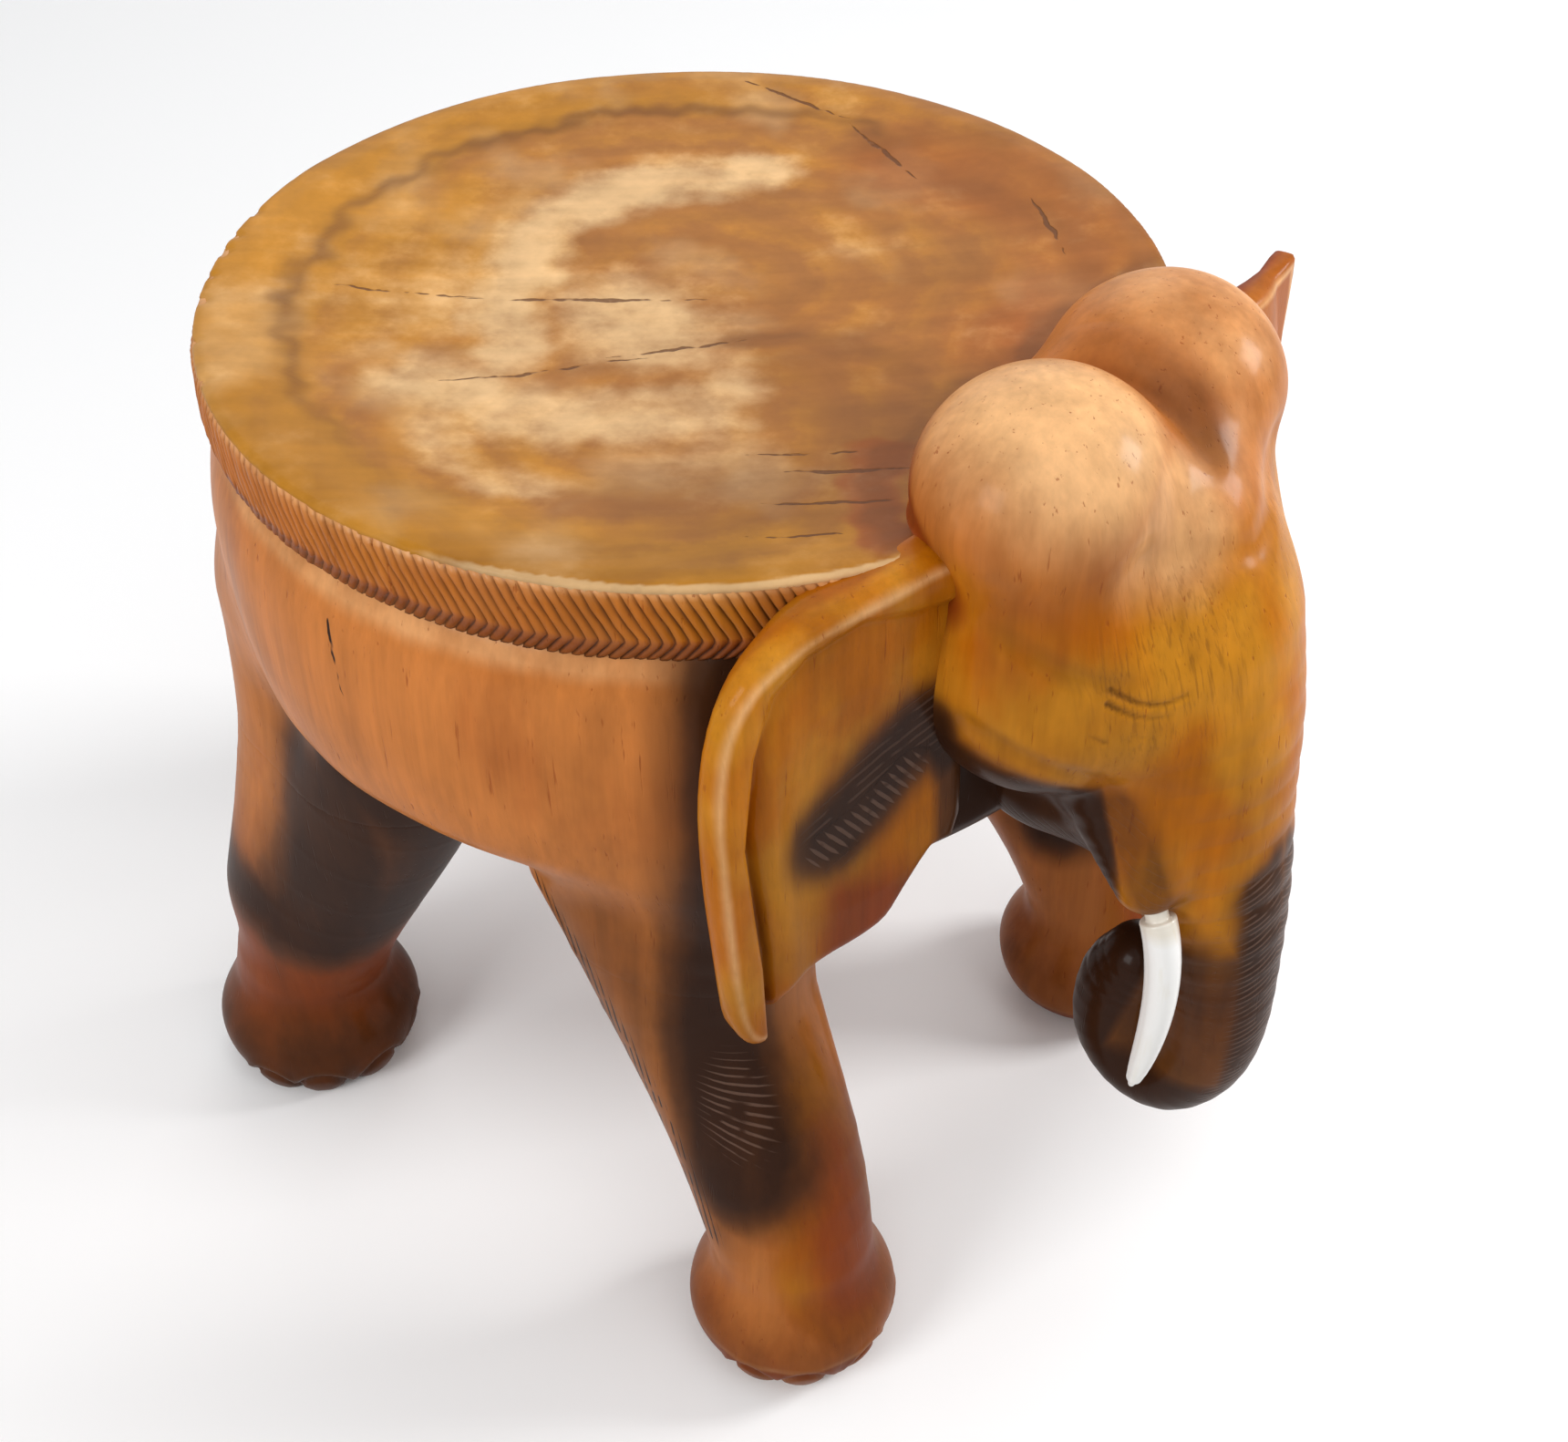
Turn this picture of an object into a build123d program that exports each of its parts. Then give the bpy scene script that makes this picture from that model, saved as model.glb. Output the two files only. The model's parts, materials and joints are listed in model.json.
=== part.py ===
from build123d import *
from math import cos, pi, radians, sin
import os

# Carved elephant stool: one block of upright-grained wood, and two tusks let into it.
# Millimetres. +X is towards the head, +Y the animal's left, +Z up from the floor. The
# forms are placed about the seat's axis, and moved last so that the origin lies in the
# middle of the stool's length, on the floor.

# Seat and the gouged band under its rim
SEAT_HEIGHT = 366.0
SEAT_R = 164.0
RIM_FLAT = 14.0  # level ring between the edge and the dish
RIM_ROUND = 2.5
DISH_DEPTH = 9.0
DISH_FLOOR_R = 60.0
BAND_UPPER = 20.0  # height of the upper row of gouges
BAND_LOWER = 13.0
BAND_BULGE = 2.5  # how far the row between the two stands out
BAND_UNDERCUT = 5.0

# Barrel of the body
BARREL_SWELL = 8.0  # fullest radius beyond the rim
BARREL_FULL_DROP = 76.0  # the fullest height, down from the seat
SHOULDER_STEP = 3.0  # ledge where the barrel starts under the band
BELLY_Z = 224.0
BELLY_FLAT_R = 128.0
BELLY_SIDE_R = 165.0
BELLY_SIDE_RISE = 24.0

# Feet, with their centres on the floor, and the bulbs that they carry
FRONT_FOOT_X = 127.0
FRONT_FOOT_Y = 112.0
REAR_FOOT_X = -125.0
REAR_FOOT_Y = 118.0
SOLE_R = 28.0
BULB_R = 40.5
BULB_Z = 22.0
ANKLE_R = 30.0
ANKLE_Z = 60.0

# Legs, each leaning from its ankle in to a hip inside the barrel
FRONT_HIP_X = 44.0
FRONT_HIP_Y = 92.0
REAR_HIP_X = -45.0
REAR_HIP_Y = 97.0
HIP_Z = 250.0
SHIN_R = 33.0
THIGH_R = 37.0
HIP_R = 43.0
FRONT_LEG_BOW = 4.0
REAR_LEG_BOW = 7.0
FRONT_MUSCLE_X = 88.0  # fullest point of the muscle over each leg
REAR_MUSCLE_X = -105.0
MUSCLE_Y = 93.0
MUSCLE_R = 43.0
MUSCLE_RISE = 10.0  # above the belly
MUSCLE_TOP_DROP = 54.0  # where it dies into the barrel, down from the seat
MUSCLE_TOP_R = 36.0

# Head: a skull that fills out from the cheeks to the temples, two domes and a jaw
SKULL_SETBACK = 4.0  # skull's middle, back from the rim's front
SKULL_LENGTH = 63.0
TEMPLE_HALF_WIDTH = 74.0
SKULL_RISE = 23.0  # skull's crown above the seat
CHEEK_DROP = 104.0  # underside of the cheeks, down from the seat
CROWN_LENGTH = 38.0
CHIN_FORWARD = 14.0  # how far the cheeks' underside lies ahead of the skull's middle
DOME_SETBACK = 8.0  # dome's centre, back from the rim's front
DOME_HALF_GAP = 37.5
DOME_RISE = 5.0  # dome's centre above the seat
DOME_LENGTH = 42.0
DOME_R = 38.0
JAW_SETBACK = 1.0
JAW_LENGTH = 46.0
JAW_R = 41.0
JAW_DROP = 108.0

# Trunk: a tapering column that turns back under itself
TRUNK_ROOT_FORWARD = 28.0  # root's centre beyond the rim's front
TRUNK_ROOT_DROP = 50.0
TRUNK_ROOT_R = 44.0
TRUNK_BRIDGE_RISE = 30.0  # where the trunk's top rounds into the skull, above the root
TRUNK_REACH = 67.5  # column's centre beyond the rim's front
TRUNK_R = 18.2
TRUNK_END_Z = 150.0
CURL_Z = 131.0
CURL_R = 18.5
TRUNK_TIP_R = 14.0
TRUNK_TIP_Z = 160.0

# Ears: curved slabs that stand out from the head, hollowed on the front
EAR_SETBACK = 14.0  # ear's root, back from the rim's front
EAR_ROOT_Y = 77.0
EAR_THICK = 22.0
EAR_PROUD = 6.0  # front of its border, ahead of the root
EAR_BORDER = 15.0
EAR_HOLLOW = 5.5
EAR_DROP = 166.0
RIGHT_EAR_REACH = 80.0
RIGHT_EAR_SWEEP = 19.0  # degrees that the ear leans back
LEFT_EAR_REACH = 87.0
LEFT_EAR_SWEEP = 4.0

# Tusks, each with a tenon in a blind socket in its sheath
SHEATH_ROOT_R = 20.0
SHEATH_END_R = 11.5
SHEATH_LENGTH = 38.5
SHEATH_END_FORWARD = 56.0  # from the rim's front
SHEATH_END_Y = 36.5
SHEATH_END_DROP = 141.0
SHEATH_DIRECTION = Vector(0.44, 0.156, -0.885)
TUSK_R = 6.4
TUSK_TIP_R = 1.2
TUSK_DROP = 70.0
TUSK_FORWARD = 5.0
TUSK_FLARE = 11.5
TUSK_HOOK_FORWARD = 3.0  # how the tusk turns in towards its tip
TUSK_HOOK_IN = 4.0
TENON_R = 4.0
TENON_LENGTH = 16.0
GLUE_GAP = 0.05  # round the tenon
GLUE_LINE = 0.1  # under the tusk's shoulder
SOCKET_SPARE = 1.0

# Tail in low relief down the rump, ending in a tuft under the belly's edge
TAIL_TOP_DROP = 42.0
TAIL_R = 8.0
TUFT_R = 9.0


def eased(start, end, t):
    """Value between two ends that leaves and arrives level."""
    return start + (end - start) * (1 - cos(pi * t)) / 2


def disc(centre, direction, radius):
    """Circle square to a direction, turned alike in every ring of a loft."""
    square = Vector(0, 1, 0).cross(Vector(direction))
    return Plane(origin=centre, x_dir=square, z_dir=direction) * Circle(radius)


def round_bar(start, end, start_r, end_r):
    """Tapering bar between two points."""
    along = end - start
    return loft([disc(start, along, start_r), disc(end, along, end_r)])


def egg(centre, half_length, radius):
    """Ellipse turned about its own length, which lies along X."""
    half = make_face(
        EllipticalCenterArc((0, 0), half_length, radius, start_angle=0, arc_size=180)
        + Line((-half_length, 0), (half_length, 0))
    )
    return Pos(centre) * revolve(half, Axis.X)


def mirrored(shape):
    return mirror(shape, about=Plane.XZ)


def make_barrel():
    top = SEAT_HEIGHT
    row = top - BAND_UPPER
    foot = row - BAND_LOWER
    waist_r = SEAT_R - BAND_UNDERCUT
    barrel_r = SEAT_R + BARREL_SWELL
    dish_edge = SEAT_R - RIM_FLAT
    belly_side_z = BELLY_Z + BELLY_SIDE_RISE
    outline = [
        Line((0, BELLY_Z), (BELLY_FLAT_R, BELLY_Z)),
        TangentArc((BELLY_FLAT_R, BELLY_Z), (BELLY_SIDE_R, belly_side_z), tangent=(1, 0)),
        ThreePointArc(
            (BELLY_SIDE_R, belly_side_z),
            (barrel_r, top - BARREL_FULL_DROP),
            (SEAT_R, foot - SHOULDER_STEP),
        ),
        Line((SEAT_R, foot - SHOULDER_STEP), (waist_r, foot)),
        Line((waist_r, foot), (SEAT_R + BAND_BULGE, row)),
        Line((SEAT_R + BAND_BULGE, row), (SEAT_R, top - RIM_ROUND)),
        TangentArc((SEAT_R, top - RIM_ROUND), (SEAT_R - RIM_ROUND, top), tangent=(0, 1)),
        Line((SEAT_R - RIM_ROUND, top), (dish_edge, top)),
        TangentArc((DISH_FLOOR_R, top - DISH_DEPTH), (dish_edge, top), tangent=(1, 0)),
        Line((DISH_FLOOR_R, top - DISH_DEPTH), (0, top - DISH_DEPTH)),
        Line((0, top - DISH_DEPTH), (0, BELLY_Z)),
    ]
    return revolve(Plane.XZ * make_face(Curve() + outline), Axis.Z)


def make_foot(centre):
    """Bulb that swells over the sole and closes up inside the ankle."""
    neck_r = ANKLE_R * 0.6
    shoulder_z = (BULB_Z + ANKLE_Z) / 2
    outline = [
        Line((0, 0), (SOLE_R, 0)),
        ThreePointArc((SOLE_R, 0), (BULB_R * 0.93, BULB_Z * 0.42), (BULB_R, BULB_Z)),
        Bezier((BULB_R, BULB_Z), (BULB_R, shoulder_z), (ANKLE_R, shoulder_z), (neck_r, ANKLE_Z)),
        Line((neck_r, ANKLE_Z), (0, ANKLE_Z)),
        Line((0, ANKLE_Z), (0, 0)),
    ]
    return Pos(centre) * revolve(Plane.XZ * make_face(Curve() + outline), Axis.Z)


def make_leg(foot, hip, bow, muscle_x, muscle_foot):
    """Left leg: a foot, the leaning leg, and the muscle that dies out a share of the way up it."""
    ankle = Vector(foot.X, foot.Y, ANKLE_Z)
    up = hip - ankle
    shin = ankle + up * 0.3 + Vector(bow, 0, 0)
    thigh = ankle + up * 0.62
    rings = [
        disc((foot.X, foot.Y, BULB_Z), (0, 0, 1), ANKLE_R * 0.8),
        disc(ankle, (0, 0, 1), ANKLE_R),
        disc(shin, up, SHIN_R),
        disc(thigh, up, THIGH_R),
        disc(hip, up, HIP_R),
    ]
    full = Vector(muscle_x, MUSCLE_Y, BELLY_Z + MUSCLE_RISE)
    top = Vector(full.X * 0.93, full.Y * 0.93, SEAT_HEIGHT - MUSCLE_TOP_DROP)
    muscle = loft(
        [
            disc(ankle + up * muscle_foot, up, SHIN_R * 0.8),
            disc(full, (0, 0, 1), MUSCLE_R),
            disc(top, (0, 0, 1), MUSCLE_TOP_R),
        ]
    )
    return make_foot(foot) + loft(rings) + muscle


def make_skull():
    """Loft of level ellipses from under the cheeks up to the crown."""
    middle = SEAT_R - SKULL_SETBACK
    low = SEAT_HEIGHT - CHEEK_DROP
    high = SEAT_HEIGHT + SKULL_RISE
    fill = [
        (0.0, CHIN_FORWARD, 0.48, 0.54),
        (0.18, CHIN_FORWARD * 0.3, 0.89, 0.83),
        (0.42, 0.0, 1.0, 0.95),
        (0.66, 0.0, 0.98, 1.0),
        (0.86, 0.0, 0.9, 0.95),
    ]
    rings = []
    for up, forward, long, wide in fill:
        place = Pos(middle + forward, 0, low + (high - low) * up)
        rings.append(place * Ellipse(SKULL_LENGTH * long, TEMPLE_HALF_WIDTH * wide))
    crown_width = CROWN_LENGTH * TEMPLE_HALF_WIDTH / SKULL_LENGTH
    rings.append(Pos(middle, 0, high) * Ellipse(CROWN_LENGTH, crown_width))
    return loft(rings)


def make_head():
    jaw_centre = (SEAT_R - JAW_SETBACK, 0, SEAT_HEIGHT - JAW_DROP)
    dome_centre = (SEAT_R - DOME_SETBACK, DOME_HALF_GAP, SEAT_HEIGHT + DOME_RISE)
    dome = egg(dome_centre, DOME_LENGTH, DOME_R)
    return make_skull() + egg(jaw_centre, JAW_LENGTH, JAW_R) + dome + mirrored(dome)


def make_trunk():
    column_x = SEAT_R + TRUNK_REACH
    curl_x = column_x - 2 * CURL_R
    root = Vector(SEAT_R + TRUNK_ROOT_FORWARD, 0, SEAT_HEIGHT - TRUNK_ROOT_DROP)
    down = Vector(0, 0, -1)
    bridge = root + Vector(-TRUNK_BRIDGE_RISE * 0.2, 0, TRUNK_BRIDGE_RISE)
    rings = [disc(bridge, down, TRUNK_ROOT_R * 0.7)]
    count = 6
    for i in range(count):
        t = i / (count - 1)
        centre = (eased(root.X, column_x, t), 0, root.Z + (TRUNK_END_Z - root.Z) * t)
        rings.append(disc(centre, down, eased(TRUNK_ROOT_R, TRUNK_R, t)))
    column = loft(rings)
    straight = round_bar(
        Vector(column_x, 0, TRUNK_END_Z), Vector(column_x, 0, CURL_Z), TRUNK_R, TRUNK_R
    )
    bend = revolve(
        disc((column_x, 0, CURL_Z), (0, 0, 1), TRUNK_R),
        Axis((column_x - CURL_R, 0, CURL_Z), (0, 1, 0)),
        180,
    )
    tip = round_bar(
        Vector(curl_x, 0, CURL_Z), Vector(curl_x, 0, TRUNK_TIP_Z), TRUNK_R, TRUNK_TIP_R
    )
    end = Pos(curl_x, 0, TRUNK_TIP_Z) * Sphere(TRUNK_TIP_R)
    return column + straight + bend + tip + end


def ear_outline(reach, corner):
    """Edge of the ear's slab; corner moves the top corner out and up for a pointed ear."""
    top = SEAT_HEIGHT
    drop = EAR_DROP
    across = [
        (0.04, 0.0),
        (0.5, 0.02),
        (0.82 + 0.12 * corner, 0.09 - 0.05 * corner),
        (1.0, 0.3),
        (0.97, 0.62),
        (0.88, 0.88),
        (0.78, 1.0),
        (0.66, 0.965),
        (0.46, 0.885),
        (0.15, 0.86),
        (-0.1, 0.72),
    ]
    points = [(reach * u, top - drop * v) for u, v in across]
    inner = (-0.25 * reach, top - drop * 0.5)
    return make_face(
        Spline(points) + Polyline(points[-1], inner, points[0])
    )


def make_ear(reach, sweep, corner):
    """Left ear; its flat back lies EAR_THICK - EAR_PROUD behind the root."""
    lean = radians(sweep)
    outline = ear_outline(reach, corner)
    hollow = Pos(-EAR_BORDER, -EAR_BORDER / 2, 0) * outline
    slab = Pos(0, 0, EAR_PROUD - EAR_THICK) * extrude(outline, EAR_THICK)
    slab -= Pos(0, 0, EAR_PROUD - EAR_HOLLOW) * extrude(hollow, EAR_THICK)
    root = Plane(
        origin=(SEAT_R - EAR_SETBACK, EAR_ROOT_Y, 0),
        x_dir=(-sin(lean), cos(lean), 0),
        z_dir=(cos(lean), sin(lean), 0),
    )
    return root * slab


def make_tail():
    """Bead of wood down the rump, ending in a fuller tuft."""
    top = Vector(-SEAT_R, 0, SEAT_HEIGHT - TAIL_TOP_DROP)
    foot = Vector(-BELLY_SIDE_R, 0, BELLY_Z)
    middle = Vector(-SEAT_R - BARREL_SWELL, 0, (top.Z + foot.Z) / 2)
    down = foot - top
    cord = loft([disc(top, down, TAIL_R), disc(middle, down, TAIL_R), disc(foot, down, TAIL_R * 0.75)])
    tuft = Plane(origin=foot, z_dir=down) * Sphere(TUFT_R)
    return cord + tuft


def make_sheath():
    """Left tusk sheath, with its socket still to be bored."""
    end = sheath_end()
    along = SHEATH_DIRECTION.normalized()
    return round_bar(end - along * SHEATH_LENGTH, end, SHEATH_ROOT_R, SHEATH_END_R)


def sheath_end():
    return Vector(SEAT_R + SHEATH_END_FORWARD, SHEATH_END_Y, SEAT_HEIGHT - SHEATH_END_DROP)


def make_socket():
    along = SHEATH_DIRECTION.normalized()
    depth = TENON_LENGTH + SOCKET_SPARE
    mouth = sheath_end()
    return Plane(origin=mouth - along * depth, z_dir=along) * extrude(
        Circle(TENON_R + GLUE_GAP), depth * 2
    )


def make_tusk():
    """Left tusk: a horn bent down and outwards, on a round tenon."""
    along = SHEATH_DIRECTION.normalized()
    root = sheath_end() + along * GLUE_LINE
    tip = root + Vector(TUSK_FORWARD, TUSK_FLARE, -TUSK_DROP)
    hook = tip + Vector(TUSK_HOOK_FORWARD, -TUSK_HOOK_IN, TUSK_DROP * 0.3)
    line = Bezier(root, root + along * TUSK_DROP * 0.34, hook, tip)
    count = 7
    rings = []
    for i in range(count):
        t = i / (count - 1)
        radius = TUSK_TIP_R + (TUSK_R - TUSK_TIP_R) * (1 - t * t) ** 0.5
        rings.append(disc(line @ t, line % t, radius))
    horn = loft(rings)
    tenon = Plane(origin=root + along, z_dir=-along) * extrude(Circle(TENON_R), TENON_LENGTH)
    return horn + tenon


def build_block():
    block = make_barrel()
    front_foot = Vector(FRONT_FOOT_X, FRONT_FOOT_Y)
    rear_foot = Vector(REAR_FOOT_X, REAR_FOOT_Y)
    front_hip = Vector(FRONT_HIP_X, FRONT_HIP_Y, HIP_Z)
    rear_hip = Vector(REAR_HIP_X, REAR_HIP_Y, HIP_Z)
    front_leg = make_leg(front_foot, front_hip, FRONT_LEG_BOW, FRONT_MUSCLE_X, 0.6)
    rear_leg = make_leg(rear_foot, rear_hip, -REAR_LEG_BOW, REAR_MUSCLE_X, 0.3)
    for leg in (front_leg, rear_leg):
        block += leg
        block += mirrored(leg)
    block += make_head()
    block += make_trunk()
    block += make_ear(LEFT_EAR_REACH, LEFT_EAR_SWEEP, 1.0)
    block += mirrored(make_ear(RIGHT_EAR_REACH, RIGHT_EAR_SWEEP, 0.0))
    block += make_tail()
    sheath = make_sheath()
    block += sheath
    block += mirrored(sheath)
    socket = make_socket()
    return block - socket - mirrored(socket)


os.makedirs("parts", exist_ok=True)
block = build_block()
tusk = make_tusk()
middle = block.bounding_box().center()
to_origin = Pos(-middle.X, -middle.Y, 0)
export_step(to_origin * block, "parts/carved_block.step")
export_step(to_origin * tusk, "parts/tusk_left.step")
export_step(to_origin * mirrored(tusk), "parts/tusk_right.step")
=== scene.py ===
import json
import math

import bpy
import numpy as np
from mathutils import Matrix, Vector


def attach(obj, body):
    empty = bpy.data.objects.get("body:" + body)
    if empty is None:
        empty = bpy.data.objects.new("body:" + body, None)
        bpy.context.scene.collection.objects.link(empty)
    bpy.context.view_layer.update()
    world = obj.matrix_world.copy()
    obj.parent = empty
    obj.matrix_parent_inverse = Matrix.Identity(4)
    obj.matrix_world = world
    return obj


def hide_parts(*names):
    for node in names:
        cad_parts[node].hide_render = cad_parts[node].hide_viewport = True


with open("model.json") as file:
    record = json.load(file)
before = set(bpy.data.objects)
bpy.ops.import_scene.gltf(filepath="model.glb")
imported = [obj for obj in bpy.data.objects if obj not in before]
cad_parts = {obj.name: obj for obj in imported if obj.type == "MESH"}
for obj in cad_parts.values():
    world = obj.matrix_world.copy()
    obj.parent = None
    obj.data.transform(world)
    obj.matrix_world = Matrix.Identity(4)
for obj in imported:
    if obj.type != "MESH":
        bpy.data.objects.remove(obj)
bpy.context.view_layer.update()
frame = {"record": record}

# ------------------------------------------------------------------------------------------------
# Studio: a pale floor under soft window light, and the camera, which looks down on the stool from
# ahead of its right side. All places are in millimetres from the seat's axis, on the floor.
seat_mount = next(mount for mount in frame["record"]["mounts"] if mount["name"] == "seat")
SEAT_AXIS = np.array([seat_mount["pos_m"][0], seat_mount["pos_m"][1], 0.0])

CAMERA_PLACE = (421.8, -510.2, 761.4)
CAMERA_TURN = (41.93, 36.86, -0.08)  # degrees: down from level, round from +Y, and tilt
LENS = 51.03


def metres(places):
    """Places by the seat's axis, in millimetres, as metres in the frame."""
    return np.asarray(places, float) / 1000 + SEAT_AXIS


camera_data = bpy.data.cameras.new("camera")
camera_data.lens = LENS
camera_data.sensor_width = 36
camera = bpy.data.objects.new("camera", camera_data)
down, round_z, tilt = (math.radians(angle) for angle in CAMERA_TURN)
camera.matrix_world = (
    Matrix.Translation(metres(CAMERA_PLACE))
    @ Matrix.Rotation(round_z, 4, "Z")
    @ Matrix.Rotation(math.pi / 2 - down, 4, "X")
    @ Matrix.Rotation(tilt, 4, "Z")
)
bpy.context.scene.collection.objects.link(camera)
bpy.context.scene.camera = camera

bpy.context.scene.view_settings.view_transform = "Standard"

WINDOWS = [  # name, compass turn from +X and height in degrees, distance and width in metres, power
    ("window_right", 45, 24, 1.7, 0.5, 17),
    ("window_left", -97, 27, 1.8, 0.7, 13),
    ("window_back", 131, 36, 2.2, 1.6, 9),
    ("ceiling", 20, 82, 2.2, 2.4, 12),
    ("room", -35, 48, 2.6, 2.6, 16),
]
for name, turn, height, distance, width, power in WINDOWS:
    light = bpy.data.lights.new(name, "AREA")
    light.shape = "SQUARE"
    light.size = width
    light.energy = power
    turn, height = math.radians(turn), math.radians(height)
    towards = Vector(
        (math.cos(height) * math.cos(turn), math.cos(height) * math.sin(turn), math.sin(height))
    )
    lamp = bpy.data.objects.new(name, light)
    lamp.location = Vector(metres((0, 0, 220))) + towards * distance
    lamp.rotation_euler = towards.to_track_quat("Z", "Y").to_euler()
    bpy.context.scene.collection.objects.link(lamp)


def wire(tree, kind, settings=None, values=(), **links):
    """A node of a tree, with its settings, and its inputs set or linked in order or by name."""
    made = tree.nodes.new(kind)
    for key, value in (settings or {}).items():
        setattr(made, key, value)
    named = [(made.inputs[key.replace("_", " ")], value) for key, value in links.items()]
    for socket, value in [*zip(made.inputs, values), *named]:
        if isinstance(value, bpy.types.NodeSocket):
            tree.links.new(value, socket)
        elif isinstance(value, tuple) and len(value) == 3 and len(socket.default_value) == 4:
            socket.default_value = (*value, 1)
        else:
            socket.default_value = value
    return made


def seen_directly(tree):
    """1 where the camera looks straight at a surface, or sees it in a shine or through glass."""
    path = wire(tree, "ShaderNodeLightPath")
    most = path.outputs["Is Camera Ray"]
    for ray in ("Is Glossy Ray", "Is Transmission Ray"):
        most = wire(tree, "ShaderNodeMath", {"operation": "MAXIMUM"}, (most, path.outputs[ray])).outputs[0]
    return most


world = bpy.data.worlds.new("studio")
world.use_nodes = True
room = world.node_tree
room.nodes.clear()
walls = wire(room, "ShaderNodeBackground", Color=(0.97, 0.98, 1.0), Strength=0.35)
backdrop = wire(room, "ShaderNodeBackground", Color=(1, 1, 1), Strength=1.0)
either = wire(
    room, "ShaderNodeMixShader", None, (seen_directly(room), walls.outputs[0], backdrop.outputs[0])
)
wire(room, "ShaderNodeOutputWorld", Surface=either.outputs[0])
bpy.context.scene.world = world

FLOOR_REACH = 6  # metres
floor_mesh = bpy.data.meshes.new("floor")
floor_corners = [(-FLOOR_REACH, -FLOOR_REACH, 0), (FLOOR_REACH, -FLOOR_REACH, 0)]
floor_corners += [(FLOOR_REACH, FLOOR_REACH, 0), (-FLOOR_REACH, FLOOR_REACH, 0)]
floor_mesh.from_pydata(floor_corners, [], [(0, 1, 2, 3)])
floor = bpy.data.objects.new("floor", floor_mesh)
bpy.context.scene.collection.objects.link(floor)
floor_paint = bpy.data.materials.new("floor_paint")
floor_paint.use_nodes = True
paint_tree = floor_paint.node_tree
paint_shader = paint_tree.nodes["Principled BSDF"]
paint_shader.inputs["Roughness"].default_value = 0.9
paint_shader.inputs["Specular IOR Level"].default_value = 0.1
paint_colour = wire(
    paint_tree, "ShaderNodeMix", {"data_type": "RGBA"},
    Factor=seen_directly(paint_tree), A=(0.46, 0.44, 0.42), B=(1.0, 1.0, 1.0),
)
paint_tree.links.new(paint_colour.outputs["Result"], paint_shader.inputs["Base Color"])
floor_mesh.materials.append(floor_paint)


# ------------------------------------------------------------------------------------------------
# Body: the barrel of the log, undercut round the seat, with a flattened belly and the tail left
# standing in low relief. Everything but the tusks is one piece of upright-grained wood, so each
# form is a signed distance in millimetres, and neighbours are merged with a carved fillet.
SEAT_HEIGHT = 366.0
SEAT_R = 164.0
BARREL_R = 170.5
BARREL_FULL_Z = 290.0
BARREL_TOP_Z = 340.0
DRAWN_IN, DRAWN_OVER = 15, 69  # how far the barrel draws in below its full width, over what height
UNDERCUT, UNDERCUT_OVER = 9, 48  # the same above it
BELLY_Z = 224.0
BODY_FOOT_Z = 190.0  # below this the legs are meshed on their own
EAR_ROOT = (150.0, 77.0)  # where an ear's front face leaves the head
EAR_SWEEP = math.radians(19)


def merge(a, b, fillet):
    """Both forms, with a fillet where they meet."""
    close = np.maximum(fillet - np.abs(a - b), 0) / fillet
    return np.minimum(a, b) - close * close * fillet / 4


def keep(a, b, rounding):
    """What lies in both forms, with a rounded edge."""
    return -merge(-a, -b, rounding)


def ramp(value, start, full):
    """0 at the start, 1 at full, even between, and held beyond."""
    return np.clip((value - start) / (full - start), 0, 1)


def bell(value, middle, width):
    """1 at the middle, fading over the width to each side."""
    return np.exp(-(((value - middle) / width) ** 2))


def egg(p, centre, radii):
    q = (p - np.float32(centre)) / np.float32(radii)
    reach = np.sqrt((q * q).sum(1))
    steep = np.sqrt(((q / np.float32(radii)) ** 2).sum(1))
    return reach * (reach - 1) / np.maximum(steep, 1e-6)


def smooth_route(joints, radii, steps=3):
    """Points on a soft curve through the joints, and the radius at each."""
    stops = np.column_stack([np.asarray(joints, float), radii])
    stops = np.vstack([2 * stops[0] - stops[1], stops, 2 * stops[-1] - stops[-2]])
    route = []
    for i in range(1, len(stops) - 2):
        a, b, c, d = stops[i - 1 : i + 3]
        for t in np.arange(steps) / steps:
            bend = (2 * a - 5 * b + 4 * c - d) * t**2 + (3 * b - a - 3 * c + d) * t**3
            route.append((2 * b + (c - a) * t + bend) / 2)
    route.append(stops[-2])
    return np.array(route, np.float32)


def limb(p, joints, radii, steps=3):
    """Round limb of changing thickness along a soft curve."""
    route = smooth_route(joints, radii, steps)
    nearest = None
    for a, b in zip(route[:-1], route[1:]):
        along = b[:3] - a[:3]
        t = np.clip((p - a[:3]) @ along / (along @ along), 0, 1)
        off = p - a[:3] - t[:, None] * along
        gap = np.sqrt((off**2).sum(1)) - (a[3] + (b[3] - a[3]) * t)
        nearest = gap if nearest is None else np.minimum(nearest, gap)
    return nearest


def folded(p):
    """Both sides of the animal carved alike: the right side folded over onto the left."""
    return np.column_stack([p[:, 0], np.abs(p[:, 1]), p[:, 2]])


def hand_waves(p, height):
    """The slight unevenness that a hand-held gouge and sanding leave."""
    x, y, z = (p / 17).T
    swell = np.sin(x + 1.7 * np.sin(0.9 * z)) + np.sin(1.3 * y + 0.6 * z + 2)
    return height * (swell + np.sin(1.1 * z - 0.8 * x + 1.2 * np.sin(y)) + np.sin(2.1 * (x - y))) / 4


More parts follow.
